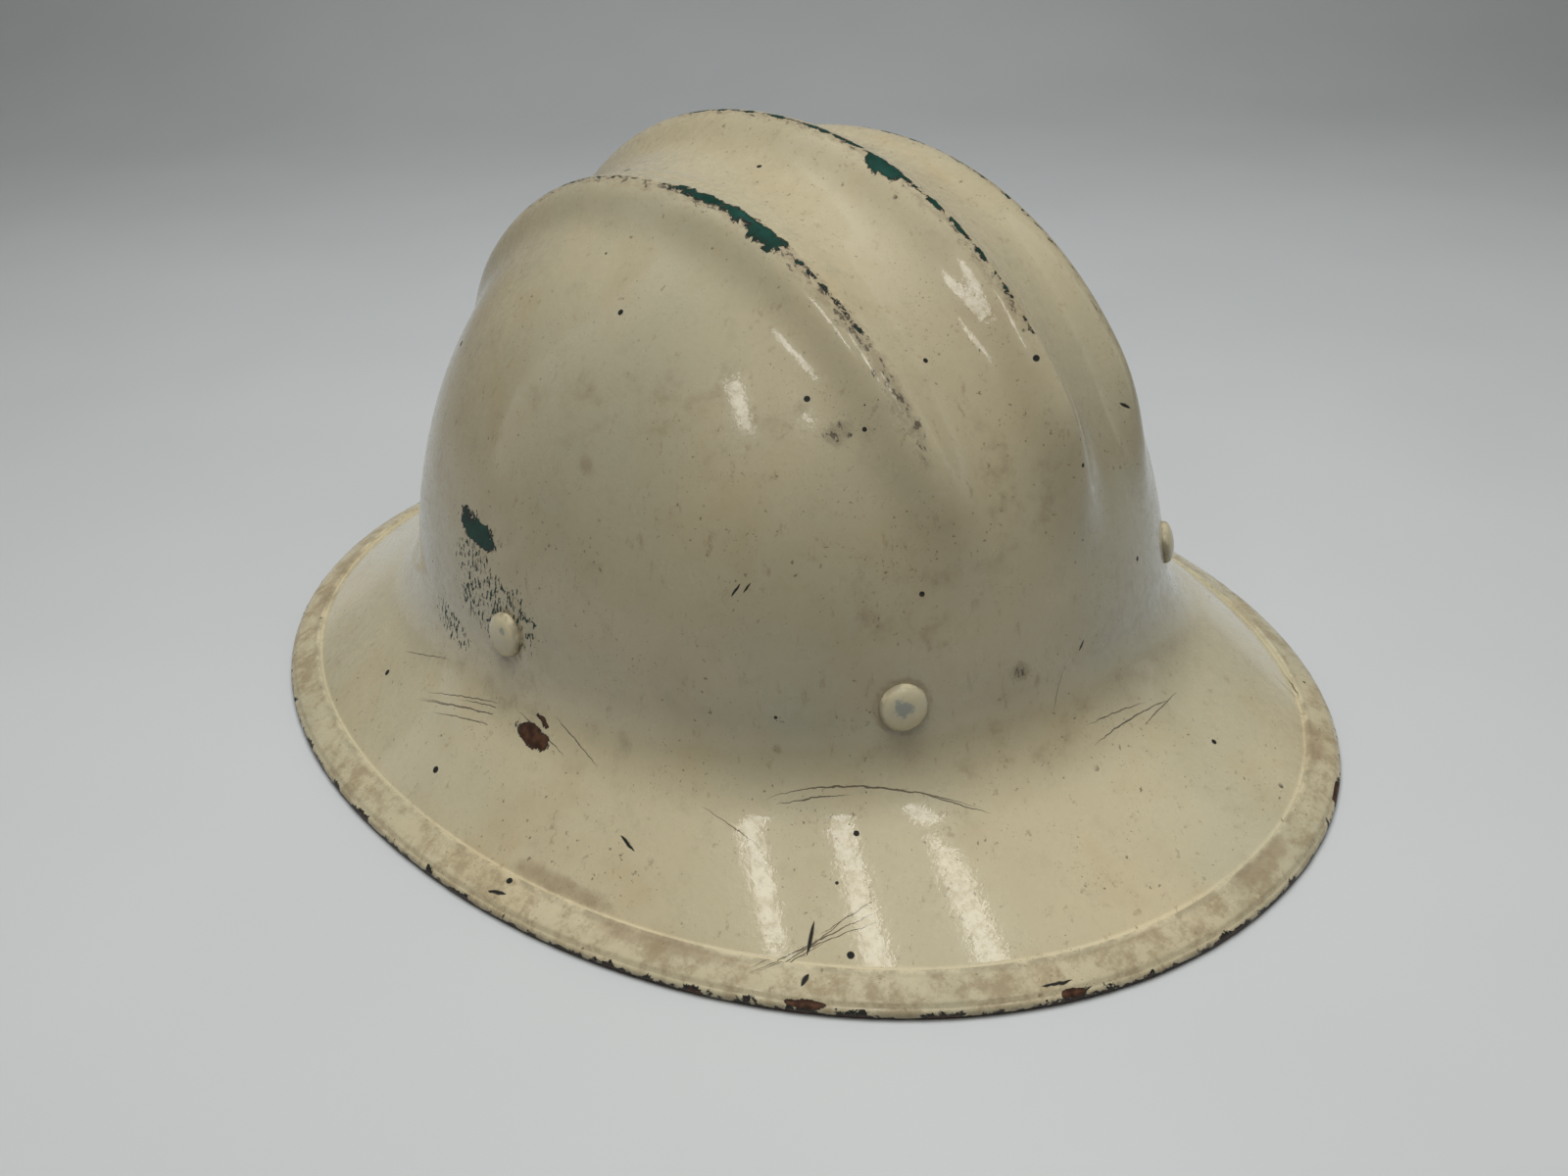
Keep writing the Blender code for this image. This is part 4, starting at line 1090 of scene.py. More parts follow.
def make_rivets(paint, steel):
    """The six crown rivets, each with its worn paint, and the washers under their clinched ends."""
    washer_top = -(WALL + TAPE_STANDOFF + TAPE_THICKNESS + 2 * GAP)
    clinch_top = washer_top - WASHER_THICKNESS - GAP
    r = RIVET_HEAD_RADIUS
    dome = [(r * sin(t), RIVET_HEAD_HEIGHT * cos(t) ** 0.8) for t in np.linspace(0, 0.47 * pi, 14)]
    seat = -0.25 * MM
    head = dome + [(r, 0.15 * MM), (r * 0.98, seat), (RIVET_SHANK_RADIUS, seat)]
    tail = profile_from(RIVET_CLINCH, clinch_top)
    washer = profile_from(WASHER_PROFILE, washer_top)
    for place, azimuth in RIVET_AZIMUTHS.items():
        here = rivet_frame(azimuth)
        mesh = turned_mesh("crown_rivet_" + place, head + tail, 48, here)
        local = [here.inverted() @ vert.co for vert in mesh.vertices]
        radial = [hypot(p.x, p.y) / r if p.z > -MM else 0.0 for p in local]
        off_x, off_y, spread = (mm * MM for mm in RIVET_WEAR.get(place, RIVET_WEAR_ELSEWHERE))
        worn = [1.15 - hypot(p.x - off_x, p.y - off_y) / spread * 0.5 if p.z > 0 else 0.0 for p in local]
        set_field(mesh, "radial", radial)
        set_field(mesh, "worn", np.clip(worn, 0, 1))
        rivet = add_piece("crown_rivet_" + place, mesh, paint)
        sharpen(mesh, 50)
        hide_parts("rivet_" + place)
        ring_mesh = turned_mesh("crown_washer_" + place, washer, 40, here)
        ring = add_piece("crown_washer_" + place, ring_mesh, steel)
        sharpen(ring_mesh, 40)
        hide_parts("washer_" + place)


# ---------------------------------------------------------------- webbing, leather, metal

# Dark and light tones of each material; a metal's are bright, dull and spotted
COTTON_TONES = ((0.38, 0.31, 0.19), (0.56, 0.49, 0.35))
COTTON_GAP_SHADE = (0.14, 0.105, 0.06)
COTTON_SWEAT = (0.20, 0.13, 0.07)
LACE_TONES = ((0.46, 0.40, 0.29), (0.64, 0.59, 0.47))
LACE_GAP_SHADE = (0.22, 0.17, 0.11)
THREAD_TONES = ((0.40, 0.31, 0.18), (0.60, 0.50, 0.33))
TAN_LEATHER = ((0.20, 0.085, 0.032), (0.36, 0.185, 0.080))
BROWN_LEATHER = ((0.075, 0.032, 0.016), (0.155, 0.070, 0.034))
FIBRE_TONES = ((0.020, 0.017, 0.014), (0.050, 0.040, 0.031))
FIBRE_FLECK = (0.12, 0.10, 0.08)
FIBRE_SCRAPE = (0.15, 0.13, 0.11)
STEEL_TONES = ((0.42, 0.41, 0.39), (0.24, 0.23, 0.21), (0.13, 0.055, 0.025))
NICKEL_TONES = ((0.60, 0.57, 0.50), (0.40, 0.37, 0.31), (0.14, 0.09, 0.05))
BRASS_TONES = ((0.58, 0.42, 0.18), (0.30, 0.21, 0.09), (0.10, 0.075, 0.035))
WEBBING_RIB = 1.05 * MM
WEBBING_PICK = 1.5 * MM
BRAID_PITCH = 2.6 * MM


def webbing_material():
    """Cotton webbing: warp ribs along the tape, crossed by weft, from the UV map in metres."""
    n = Nodes("cotton_webbing")
    u, v, _ = n.split(n.uv())
    rib = WEBBING_RIB
    column = n.math("FLOOR", n.math("DIVIDE", u, rib))
    shift = n.times(n.math("MODULO", column, 2.0), pi)
    ridge = n.math("ABSOLUTE", n.math("SINE", n.times(u, pi / rib)))
    pick = n.math("SINE", n.math("ADD", n.times(v, 2 * pi / WEBBING_PICK), shift))
    height = n.times(ridge, n.math("MULTIPLY_ADD", pick, 0.32, 0.68))
    cloud = n.noise(60, 4.0, 0.6)
    fibre = n.noise(2600, 3.0, 0.6)
    colour = n.mix(n.ramp(cloud, 0.3, 0.7), *COTTON_TONES)
    # Painted shade: darker in the hollows between the woven ribs.
    colour = n.mix(n.ramp(height, 0.45, 0.05), colour, COTTON_GAP_SHADE)
    colour = n.over(colour, n.ramp(n.noise(28, 4.0, 0.6), 0.52, 0.72), 0.45, COTTON_SWEAT)
    weave = n.bump(height, 0.30 * MM, 0.9)
    fuzz = n.bump(fibre, 0.06 * MM, 0.5, under=weave)
    return n.finish(colour, n.blend(cloud, 0.80, 0.95), fuzz, Sheen_Weight=0.25, Sheen_Roughness=0.5)


def lace_material():
    """Braided cotton: two sets of strands that cross round the cord."""
    n = Nodes("braided_lace")
    u, v, _ = n.split(n.uv())
    turn = n.times(u, 4 / LACE_RADIUS)
    climb = n.times(v, 2 * pi / BRAID_PITCH)
    one = n.math("SINE", n.math("ADD", turn, climb))
    other = n.math("SINE", n.minus(turn, climb))
    height = n.most(one, other)
    cloud = n.noise(90, 4.0, 0.6)
    colour = n.mix(n.ramp(cloud, 0.3, 0.7), *LACE_TONES)
    # Painted shade: darker in the hollows between the braided strands.
    colour = n.mix(n.ramp(height, 0.5, -0.2), colour, LACE_GAP_SHADE)
    braid = n.bump(height, 0.25 * MM, 0.9)
    fuzz = n.bump(n.noise(2400, 2.0), 0.05 * MM, 0.5, under=braid)
    return n.finish(colour, n.blend(cloud, 0.78, 0.92), fuzz, Sheen_Weight=0.25, Sheen_Roughness=0.5)


def leather_material(name, dark, light, gloss):
    """Pored leather, darker where it is worn; gloss is its least roughness."""
    n = Nodes(name)
    cloud = n.noise(32, 4.0, 0.6)
    cells = n.cells(900, "DISTANCE_TO_EDGE")
    pores = n.ramp(n.cells(1500), 0.16, 0.04)
    wear = n.ramp(n.noise(140, 5.0, 0.7), 0.50, 0.75)
    colour = n.mix(n.ramp(cloud, 0.30, 0.72), dark, light)
    colour = n.over(colour, wear, 0.35, tuple(c * 0.42 for c in dark))
    colour = n.over(colour, pores, 0.35, tuple(c * 0.35 for c in dark))
    colour = n.over(colour, n.ramp(cells, 0.05, 0.0), 0.35, tuple(c * 0.55 for c in dark))
    grain = n.bump(n.ramp(cells, 0.0, 0.16), 0.10 * MM, 0.7)
    creases = n.bump(n.noise(60, 5.0, 0.7, warp=0.6), 0.5 * MM, 0.35, under=grain)
    rough = n.blend(cloud, gloss, gloss + 0.22)
    return n.finish(colour, rough, creases, Coat_Weight=0.08, Coat_Roughness=0.35)


def fibre_material():
    """Black vulcanised fibre, flecked and scraped."""
    n = Nodes("black_fibre")
    cloud = n.noise(40, 4.0, 0.6)
    fleck = n.noise(900, 4.0, 0.7)
    colour = n.mix(n.ramp(cloud, 0.3, 0.7), *FIBRE_TONES)
    colour = n.over(colour, n.ramp(fleck, 0.60, 0.80), 0.5, FIBRE_FLECK)
    scrape = n.noise(300, 3.0, 0.6, stretch=(1.0, 1.0, 8.0))
    colour = n.over(colour, n.ramp(scrape, 0.62, 0.74), 0.30, FIBRE_SCRAPE)
    surface = n.bump(n.noise(500, 4.0, 0.65), 0.08 * MM, 0.5)
    return n.finish(colour, n.blend(cloud, 0.42, 0.62), surface)


def metal_material(name, bright, dull, spot_colour):
    """Dulled metal with spots of tarnish or rust."""
    n = Nodes(name)
    cloud = n.noise(220, 4.0, 0.65)
    fine = n.noise(1500, 3.0, 0.6)
    spots = n.ramp(n.noise(420, 5.0, 0.7), 0.60, 0.68)
    colour = n.mix(n.ramp(cloud, 0.35, 0.65), dull, bright)
    colour = n.over(colour, spots, 0.75, spot_colour)
    rough = n.blend(n.most(spots, n.ramp(cloud, 0.60, 0.35)), 0.24, 0.55)
    metal = n.minus(1.0, n.times(spots, 0.6))
    surface = n.bump(fine, 0.03 * MM, 0.5)
    pitted = n.bump(n.minus(1.0, spots), 0.05 * MM, 0.5, under=surface)
    return n.finish(colour, rough, pitted, metallic=metal)


def thread_material():
    """Waxed thread."""
    n = Nodes("waxed_thread")
    twist = n.noise(2600, 2.0, 0.5)
    colour = n.mix(n.ramp(n.noise(240, 3.0), 0.35, 0.65), *THREAD_TONES)
    return n.finish(colour, n.blend(twist, 0.50, 0.75), n.bump(twist, 0.06 * MM, 0.6))


# ---------------------------------------------------------------- web cradle

TAPE_COLUMNS = 10
STRAND_ROWS = 56
LAP_ROWS = 15
SEWN_FROM = 8
CROSS_ROW_EVERY = 3


def over_head_place(azimuth, across, r, z):
    """A point of a flat strip that runs straight out from the crown's axis."""
    a = radians(azimuth)
    return Vector((r * cos(a) - across * sin(a), CROWN_Y + r * sin(a) + across * cos(a), z))


def on_band_place(azimuth, across, d, z):
    """A point at a distance out from the headband's face."""
    half_width, half_length = HEADBAND_OUTER
    middle = atan2(cos(radians(azimuth)) / half_width, sin(radians(azimuth)) / half_length)
    a = middle - across / hypot(half_width * cos(middle), half_length * sin(middle))
    out = Vector((half_length * sin(a), half_width * cos(a), 0)).normalized()
    return Vector((half_width * sin(a), CROWN_Y + half_length * cos(a), z)) + out * d


def on_wall_place(azimuth, across, d, z):
    """A point at a distance in from the inner face of the crown wall."""
    middle = crown_point(azimuth, z)
    turn = azimuth + degrees(across / hypot(middle.x, middle.y - CROWN_Y))
    around = crown_point(turn + 1, z) - crown_point(turn - 1, z)
    up = crown_point(turn, z + MM) - crown_point(turn, z - MM)
    return crown_point(turn, z) - around.cross(up).normalized() * (WALL + d)


def crown_strand(azimuth):
    """The line of a tape over the head as (r, z, slope in degrees), from the lace to the headband."""
    clear = TAPE_STANDOFF + TAPE_THICKNESS / 2
    edge = on_band_place(azimuth, 0, clear, 0)
    reach = hypot(edge.x, edge.y - CROWN_Y)
    first = asin(LACE_APOTHEM / reach)
    rise = (LACE_Z + EYE_RADIUS - HEADBAND_HIGH_Z) / cos(first)
    strand = []
    for step in range(STRAND_ROWS):
        a = first + (pi / 2 - first) * step / (STRAND_ROWS - 1)
        slope = degrees(atan2(-rise * sin(a), reach * cos(a)))
        strand.append((reach * sin(a), HEADBAND_HIGH_Z + rise * cos(a), slope))
    return strand


def lap_line(strand):
    """The sewn end below the strand, from the lace outwards, as (r, z)."""
    lap = []
    for k in range(1, LAP_ROWS + 1):
        r, z, slope = strand[k]
        close = float(smooth_step((k - 1) / SEWN_FROM))
        below = 2 * EYE_RADIUS + (TAPE_THICKNESS + GAP - 2 * EYE_RADIUS) * close
        a = radians(slope - 90)
        lap.append((r + below * cos(a), z + below * sin(a)))
    return lap


def tape_rows(azimuth):
    """A tape from its sewn lap round the lace, over the head, and up the wall to its rivet."""
    strand = crown_strand(azimuth)
    slope = strand[0][2]
    eye = arc((LACE_APOTHEM, LACE_Z), EYE_RADIUS, 270 + slope, 90 + slope, 15)
    across = [TAPE_WIDTH * (i / TAPE_COLUMNS - 0.5) for i in range(TAPE_COLUMNS + 1)]
    clear = TAPE_STANDOFF + TAPE_THICKNESS / 2
    rows = [[over_head_place(azimuth, u, r, z) for u in across] for r, z in lap_line(strand)[::-1] + eye]
    for r, z, _ in strand[1:]:
        share = float(smooth_step((TAPE_BEND_Z - z) / (TAPE_BEND_Z - HEADBAND_HIGH_Z)))
        row = []
        for u in across:
            row.append(over_head_place(azimuth, u, r, z).lerp(on_band_place(azimuth, u, clear, z), share))
        rows.append(row)
    for d, z in arc((clear + TAPE_TURN_RADIUS, TAPE_TURN_Z), TAPE_TURN_RADIUS, 180, 360, 15):
        rows.append([on_band_place(azimuth, u, d, z) for u in across])
    low_z = TAPE_TURN_Z + 0.45 * (TAPE_TOP_Z - TAPE_TURN_Z)
    for z in np.linspace(low_z, TAPE_TOP_Z, 14):
        rows.append([on_wall_place(azimuth, u, clear, z) for u in across])
    return rows


def lap_stitches(azimuth):
    """A sewn box with three cross rows, seen on both faces of the lap."""
    strand = crown_strand(azimuth)
    lap = lap_line(strand)
    places = []
    pitch = 2.1 * MM
    inset = 2.2 * MM
    across = np.arange(-TAPE_WIDTH / 2 + inset, TAPE_WIDTH / 2 - inset + pitch / 3, pitch)
    around = over_head_place(azimuth, 1, 0, 0) - over_head_place(azimuth, 0, 0, 0)
    for top in (True, False):
        for k in range(SEWN_FROM, LAP_ROWS):
            r, z, slope = strand[k]
            a = radians(slope)
            here = over_head_place(azimuth, 0, r, z)
            along = over_head_place(azimuth, 0, r + cos(a), z + sin(a)) - here
            normal = around.cross(along).normalized()
            if normal.z < 0:
                normal = -normal
            if not top:
                r, z = lap[k - 1]
                normal = -normal
            lift = normal * (TAPE_THICKNESS / 2)
            if (k - SEWN_FROM) % CROSS_ROW_EVERY == 0:
                row, direction = across, around
            else:
                row, direction = (across[0], across[-1]), along
            places += [(over_head_place(azimuth, u, r, z) + lift, direction, normal) for u in row]
    return places


def make_cradle(webbing, lace, thread):
    """The six tapes with their sewn laps, and the lace."""
    for place, azimuth in RIVET_AZIMUTHS.items():
        mesh = grid_mesh("webbing_" + place, tape_rows(azimuth))
        tape = add_piece("webbing_" + place, mesh, webbing)
        thicken(tape, TAPE_THICKNESS, bevel=0.3 * MM)
        tape.data.shade_smooth()
        sharpen(tape.data, 60)
        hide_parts("cradle_tape_" + place)
        sewing = stitch_mesh("lap_stitches_" + place, lap_stitches(azimuth), 1.7 * MM, 0.22 * MM)
        add_piece("lap_stitches_" + place, sewing, thread)
    add_lace(lace)


def add_lace(lace):
    """The lace in the six eyes, and the knot and two tails that close it on its rear side."""
    corner = 4.0 * MM
    middle = LACE_APOTHEM - corner
    points = []
    for side in range(6):
        heading = 30 + 60 * side
        far = middle / cos(radians(30))
        centre = (far * cos(radians(heading)), CROWN_Y + far * sin(radians(heading)))
        points += [(x, y, LACE_Z) for x, y in arc(centre, corner, heading - 30, heading + 30, 12)]
    mesh = tube_mesh("lace_ring", points, LACE_RADIUS, closed=True)
    ring = add_piece("lace_ring", mesh, lace)
    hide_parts("crown_lace")
    knot_y = CROWN_Y + LACE_APOTHEM / cos(radians(30)) - 1.2 * MM
    knot = []
    for t in np.linspace(0, 2 * pi, 90, endpoint=False):
        reach = 2.1 * MM + 0.9 * MM * cos(3 * t)
        knot.append((reach * cos(2 * t) * 1.3, knot_y - 0.9 * MM * sin(3 * t), LACE_Z + reach * sin(2 * t)))
    pulled_radius = 0.85 * LACE_RADIUS
    mesh = tube_mesh("lace_knot", knot, pulled_radius, closed=True)
    add_piece("lace_knot", mesh, lace)
    for name, way in (("lace_tail_left", -1), ("lace_tail_right", 1)):
        tail = []
        for t in np.linspace(0, 1, 24):
            out = way * (2 + 11 * t**0.8) * MM
            back = -(1 + 6 * sin(t * 2.2)) * MM
            tail.append((out, knot_y + back, LACE_Z - (1 + 13 * t**1.6) * MM))
        add_piece(name, tube_mesh(name, tail, pulled_radius), lace)


# ---------------------------------------------------------------- headband and sweatband

BAND_POINTS = 260


def ellipse_line(half_width, half_length, start, end, count):
    """Points of an ellipse about the crown's axis, by angle from the rear middle towards +X."""
    line = []
    for i in range(count):
        a = start + (end - start) * i / (count - 1)
        line.append((half_width * sin(a), CROWN_Y + half_length * cos(a)))
    return line


def rear_angle(s):
    """The ellipse angle at a distance along the headband's outer face from the rear middle."""
    half_width, half_length = HEADBAND_OUTER
    steps = 60
    a = 0.0
    for _ in range(steps):
        a += s / steps / hypot(half_width * cos(a), half_length * sin(a))
    return a


def make_headband(fibre):
    """The fibre strip, open at the nape."""
    half_width, half_length = (size - HEADBAND_THICKNESS / 2 for size in HEADBAND_OUTER)
    start = rear_angle(HEADBAND_GAP[1])
    end = 2 * pi + rear_angle(HEADBAND_GAP[0])
    line = ellipse_line(half_width, half_length, start, end, BAND_POINTS)
    mesh = ribbon_mesh("fibre_headband", line, HEADBAND_LOW_Z, HEADBAND_HIGH_Z, HEADBAND_THICKNESS)
    band = add_piece("fibre_headband", mesh, fibre)
    sharpen(mesh, 60)
    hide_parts("headband")


def make_sweatband(leather, thread):
    """The leather band, with a row of stitches along each edge and a sewn join at the rear."""
    half_width, half_length = (size + SWEATBAND_THICKNESS / 2 for size in HEAD_OVAL)
    last = 2 * pi * (1 - 1 / BAND_POINTS)
    line = ellipse_line(half_width, half_length, 0, last, BAND_POINTS)
    mesh = ribbon_mesh("leather_sweatband", line, SWEATBAND_LOW_Z, SWEATBAND_HIGH_Z, SWEATBAND_THICKNESS,
                       closed=True, rows=12, wave=0.15 * MM)
    band = add_piece("leather_sweatband", mesh, leather)
    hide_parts("sweatband")
    places = []
    count = 150
    inset = 3.2 * MM
    proud = 0.05 * MM
    for k in range(count):
        a = 2 * pi * k / count
        inward = Vector((-HEAD_OVAL[1] * sin(a), -HEAD_OVAL[0] * cos(a), 0)).normalized()
        along = inward.cross(UP)
        on_face = Vector((HEAD_OVAL[0] * sin(a), CROWN_Y + HEAD_OVAL[1] * cos(a), 0))
        for z in (SWEATBAND_LOW_Z + inset, SWEATBAND_HIGH_Z - inset):
            places.append((on_face + inward * proud + UP * z, along, inward))
    for x in (-2.4 * MM, 2.4 * MM):
        for z in np.arange(SWEATBAND_LOW_Z + 6 * MM, SWEATBAND_HIGH_Z - 5 * MM, inset):
            here = Vector((x, CROWN_Y + HEAD_OVAL[1] - proud, z))
            places.append((here, UP, Vector((0, -1, 0))))
    sewing = stitch_mesh("sweatband_stitches", places, 2.6 * MM, 0.28 * MM)
    add_piece("sweatband_stitches", sewing, thread)


# ---------------------------------------------------------------- nape strap and buckle


def strap_point(s, d):
    """The plan position at a distance along the headband and out from its face."""
    half_width, half_length = HEADBAND_OUTER
    a = rear_angle(s)
    out = Vector((half_length * sin(a), half_width * cos(a))).normalized()
    return half_width * sin(a) + out.x * d, CROWN_Y + half_length * cos(a) + out.y * d


def strap_frame(s, d):
    """A frame at the strap's middle height with its Z straight out from the headband."""
    low = Vector((*strap_point(s, 0), STRAP_Z))
    out = (Vector((*strap_point(s, MM), STRAP_Z)) - low).normalized()
    along = UP.cross(out)
    return frame_matrix(low + out * d, along, (0, 0, 1))


def strap_line(points, spacing):
    """A plan line through (s, d) points, rounded off between them and close to the headband's curve."""
    first, last = points[0][0], points[-1][0]
    count = max(2, int(abs(last - first) / spacing) + 1)
    line = []
    for i in range(count):
        s = first + (last - first) * i / (count - 1)
        k = 0
        while k < len(points) - 2 and (s - points[k + 1][0]) * (last - first) > 0:
            k += 1
        (s0, d0), (s1, d1) = points[k], points[k + 1]
        share = float(smooth_step((s - s0) / (s1 - s0)))
        line.append(strap_point(s, d0 + (d1 - d0) * share))
    return line


def strip_piece(name, line, thickness, leather, tongue=0.0):
    """A leather strip on its edge; tongue is the length of its rounded free end."""
    line = [Vector(point) for point in line]
    run = [0.0]
    for before, after in zip(line, line[1:]):
        run.append(run[-1] + (after - before).length)
    rows = []
    for point, gone in zip(line, run):
        left = run[-1] - gone
        share = 1.0
        if tongue and left < tongue:
            share = max((1 - (1 - left / tongue) ** 2) ** 0.5, 0.12)
        heights = np.linspace(-1, 1, 13) * STRAP_WIDTH / 2 * share
        rows.append([(point.x, point.y, STRAP_Z + h) for h in heights])
    strip = add_piece(name, grid_mesh(name, rows), leather)
    thicken(strip, thickness)
    return strip


def cut_with(obj, mesh, matrix):
    """Cuts a mesh, placed by the matrix, out of the object."""
    cutter = linked("cutter", mesh)
    cutter.matrix_world = matrix
    boolean = obj.modifiers.new("cut", "BOOLEAN")
    boolean.operation = "DIFFERENCE"
    boolean.solver = "EXACT"
    boolean.object = cutter
    applied(obj)
    bpy.data.objects.remove(cutter, do_unlink=True)


def drill(obj, matrix, radius, depth):
    """A round hole along the frame's Z."""
    work = bmesh.new()
    bmesh.ops.create_cone(work, cap_ends=True, segments=28, radius1=radius, radius2=radius, depth=depth)
    cut_with(obj, mesh_of(work, "drill"), matrix)


def cut_slot(obj, matrix, length, height, depth):
    """A slot with round ends."""
    work = bmesh.new()
    far = length / 2 - height / 2
    outline = [(x + far, y) for x, y in arc((0, 0), height / 2, -90, 90, 12)]
    outline += [(x - far, y) for x, y in arc((0, 0), height / 2, 90, 270, 12)]
    low = [work.verts.new((x, y, -depth / 2)) for x, y in outline]
    high = [work.verts.new((x, y, depth / 2)) for x, y in outline]
    work.faces.new(low[::-1])
    work.faces.new(high)
    for k in range(len(outline)):
        m = (k + 1) % len(outline)
        work.faces.new((low[k], low[m], high[m], high[k]))
    bmesh.ops.recalc_face_normals(work, faces=work.faces)
    cut_with(obj, mesh_of(work, "slot"), matrix)


def soften(obj, width):
    """Rounds a cut strip's edges and shades the rest smooth."""
    add_bevel(obj, width, 40)
    applied(obj)
    obj.data.shade_smooth()
    sharpen(obj.data, 50)


def edge_stitches(name, points, thickness, thread):
    """Two rows of stitches, near the strap's upper and lower edges, along (s, d) points."""
    places = []
    line = strap_line(points, 2.6 * MM)
    inset = STRAP_WIDTH / 2 - 1.6 * MM
    for before, after in zip(line, line[1:]):
        along = Vector((after[0] - before[0], after[1] - before[1], 0)).normalized()
        out = Vector((-along.y, along.x, 0))
        if out.y < 0:
            out = -out
        middle = Vector(((before[0] + after[0]) / 2, (before[1] + after[1]) / 2, STRAP_Z))
        places += [(middle + out * thickness / 2 + UP * h, along, out) for h in (-inset, inset)]
    add_piece(name, stitch_mesh(name, places, 2.0 * MM, 0.24 * MM), thread)


def make_nape_strap(leather, thread):
    """The tongue: riveted to the left end, under the far bar, over the heel bar, through the keeper."""
    on_band = GAP + STRAP_THICKNESS / 2
    over_wire = HEEL_BAR[1] + BUCKLE_WIRE + WIRE_CLEARANCE
    over_heel = over_wire + CHAPE_THICKNESS + GAP + STRAP_THICKNESS / 2
    in_keeper = 3 * GAP + KEEPER_WALL + CHAPE_THICKNESS + STRAP_THICKNESS / 2
    path = [(-43 * MM, on_band), (-11 * MM, on_band), (7 * MM, over_heel), (10.5 * MM, over_heel),
            (20 * MM, in_keeper), (29 * MM, in_keeper)]
    line = strap_line(path, 0.6 * MM)
    strap = strip_piece("strap_tongue", line, STRAP_THICKNESS, leather, tongue=5 * MM)
    cut_slot(strap, strap_frame(4.85 * MM, 5 * MM), 10.9 * MM, 3.4 * MM, 8 * MM)
    for s in (15 * MM, 21.5 * MM):
        drill(strap, strap_frame(s, 4 * MM), 1.3 * MM, 8 * MM)
    soften(strap, 0.22 * MM)
    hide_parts("nape_strap")
    sewn = [(-42 * MM, on_band), (-13 * MM, on_band)]
    edge_stitches("strap_stitches", sewn, STRAP_THICKNESS, thread)


def make_chape(leather):
    """The short strip that loops round the buckle's heel bar and is riveted to the right end."""
    on_band = GAP + CHAPE_THICKNESS / 2
    in_keeper = 2 * GAP + KEEPER_WALL + CHAPE_THICKNESS / 2
    heel = strap_point(*HEEL_BAR)
    path = [(12.5 * MM, in_keeper), (28 * MM, in_keeper), (32 * MM, on_band), (45 * MM, on_band)]
    line = strap_line(path, 0.7 * MM)
    heading = degrees(atan2(line[0][1] - heel[1], line[0][0] - heel[0]))
    loop_radius = BUCKLE_WIRE + WIRE_CLEARANCE + CHAPE_THICKNESS / 2
    loop = arc(heel, loop_radius, heading + 62, heading + 338, 40)
    chape = strip_piece("buckle_chape_leather", loop + line, CHAPE_THICKNESS, leather)
    cut_slot(chape, strap_frame(HEEL_BAR[0] - MM, HEEL_BAR[1]), 8 * MM, 3.4 * MM, 8 * MM)
    soften(chape, 0.2 * MM)
    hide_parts("buckle_chape")


def make_buckle(steel):
    """The wire frame and the prong, which both turn on the heel bar."""
    heel = Vector((*strap_point(*HEEL_BAR), STRAP_Z))
    far = Vector((*strap_point(*FAR_BAR), STRAP_Z))
    along = (heel - far).normalized()
    length = (heel - far).length
    points = []
    for x, side, start in ((length, 1, 0), (0, 1, 90), (0, -1, 180), (length, -1, 270)):
        inward = BUCKLE_CORNER if x == 0 else -BUCKLE_CORNER
        centre = (x + inward, side * (BUCKLE_HALF_HEIGHT - BUCKLE_CORNER))
        for across, up in arc(centre, BUCKLE_CORNER, start, start + 90, 12):
            points.append(far + along * across + Vector((0, 0, up)))
    mesh = tube_mesh("buckle_wire", points, BUCKLE_WIRE, sides=20, closed=True)
    wire = add_piece("buckle_wire", mesh, steel, body="buckle_frame")
    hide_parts("buckle_frame")
    tip = (FAR_BAR[1] + BUCKLE_WIRE + GAP) / MM + 0.7
    path = [(7.4, 3.8), (4.0, 5.2), (0.5, 6.0), (-5.0, 5.9), (-11.0, tip), (-13.2, tip - 0.2)]
    line = [Vector((*strap_point(s * MM, d * MM), STRAP_Z)) for s, d in path]
    bend = []
    for k in range(len(line) - 1):
        before, after = line[max(k - 1, 0)], line[min(k + 2, len(line) - 1)]
        for t in np.linspace(0, 1, 8, endpoint=False):
            bend.append(catmull(before, line[k], line[k + 1], after, t))
    bend.append(line[-1])
    heading = degrees(atan2(line[0].y - heel.y, line[0].x - heel.x))
    eye_radius = BUCKLE_WIRE + WIRE_CLEARANCE + 0.5 * MM
    eye = [(x, y, STRAP_Z) for x, y in arc((heel.x, heel.y), eye_radius, heading + 330, heading + 20, 30)]
    mesh = tube_mesh("buckle_pin", eye + bend, PRONG_RADIUS, flatten=1.55)
    pin = add_piece("buckle_pin", mesh, steel, body="buckle_prong")
    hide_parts("buckle_prong")


def catmull(a, b, c, d, t):
    """A smooth point between b and c."""
    return 0.5 * (2 * b + (c - a) * t + (2 * a - 5 * b + 4 * c - d) * t**2 + (3 * b - a - 3 * c + d) * t**3)


def make_keeper(leather):
    """A leather loop round the chape and the strap's free end."""
    wall = KEEPER_WALL
    depth = CHAPE_THICKNESS + STRAP_THICKNESS + 3 * GAP
    height = STRAP_WIDTH + 4 * GAP
    place = strap_frame(KEEPER_MIDDLE, GAP + wall + depth / 2)
    half_d = depth / 2 + wall / 2
    half_z = height / 2 + wall / 2
    corner = 0.9 * MM
    outline = []
    for x, z, start in ((1, 1, 0), (-1, 1, 90), (-1, -1, 180), (1, -1, 270)):
        centre = (x * (half_d - corner), z * (half_z - corner))
        outline += arc(centre, corner, start, start + 90, 6)
    rows = []
    for d, z in outline:
        rows.append([place @ Vector((across, z, d)) for across in np.linspace(-0.5, 0.5, 7) * KEEPER_WIDTH])
    mesh = grid_mesh("leather_keeper", rows, close_rows=True)
    keeper = add_piece("leather_keeper", mesh, leather)
    thicken(keeper, wall)
    soften(keeper, 0.15 * MM)
    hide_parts("strap_keeper")


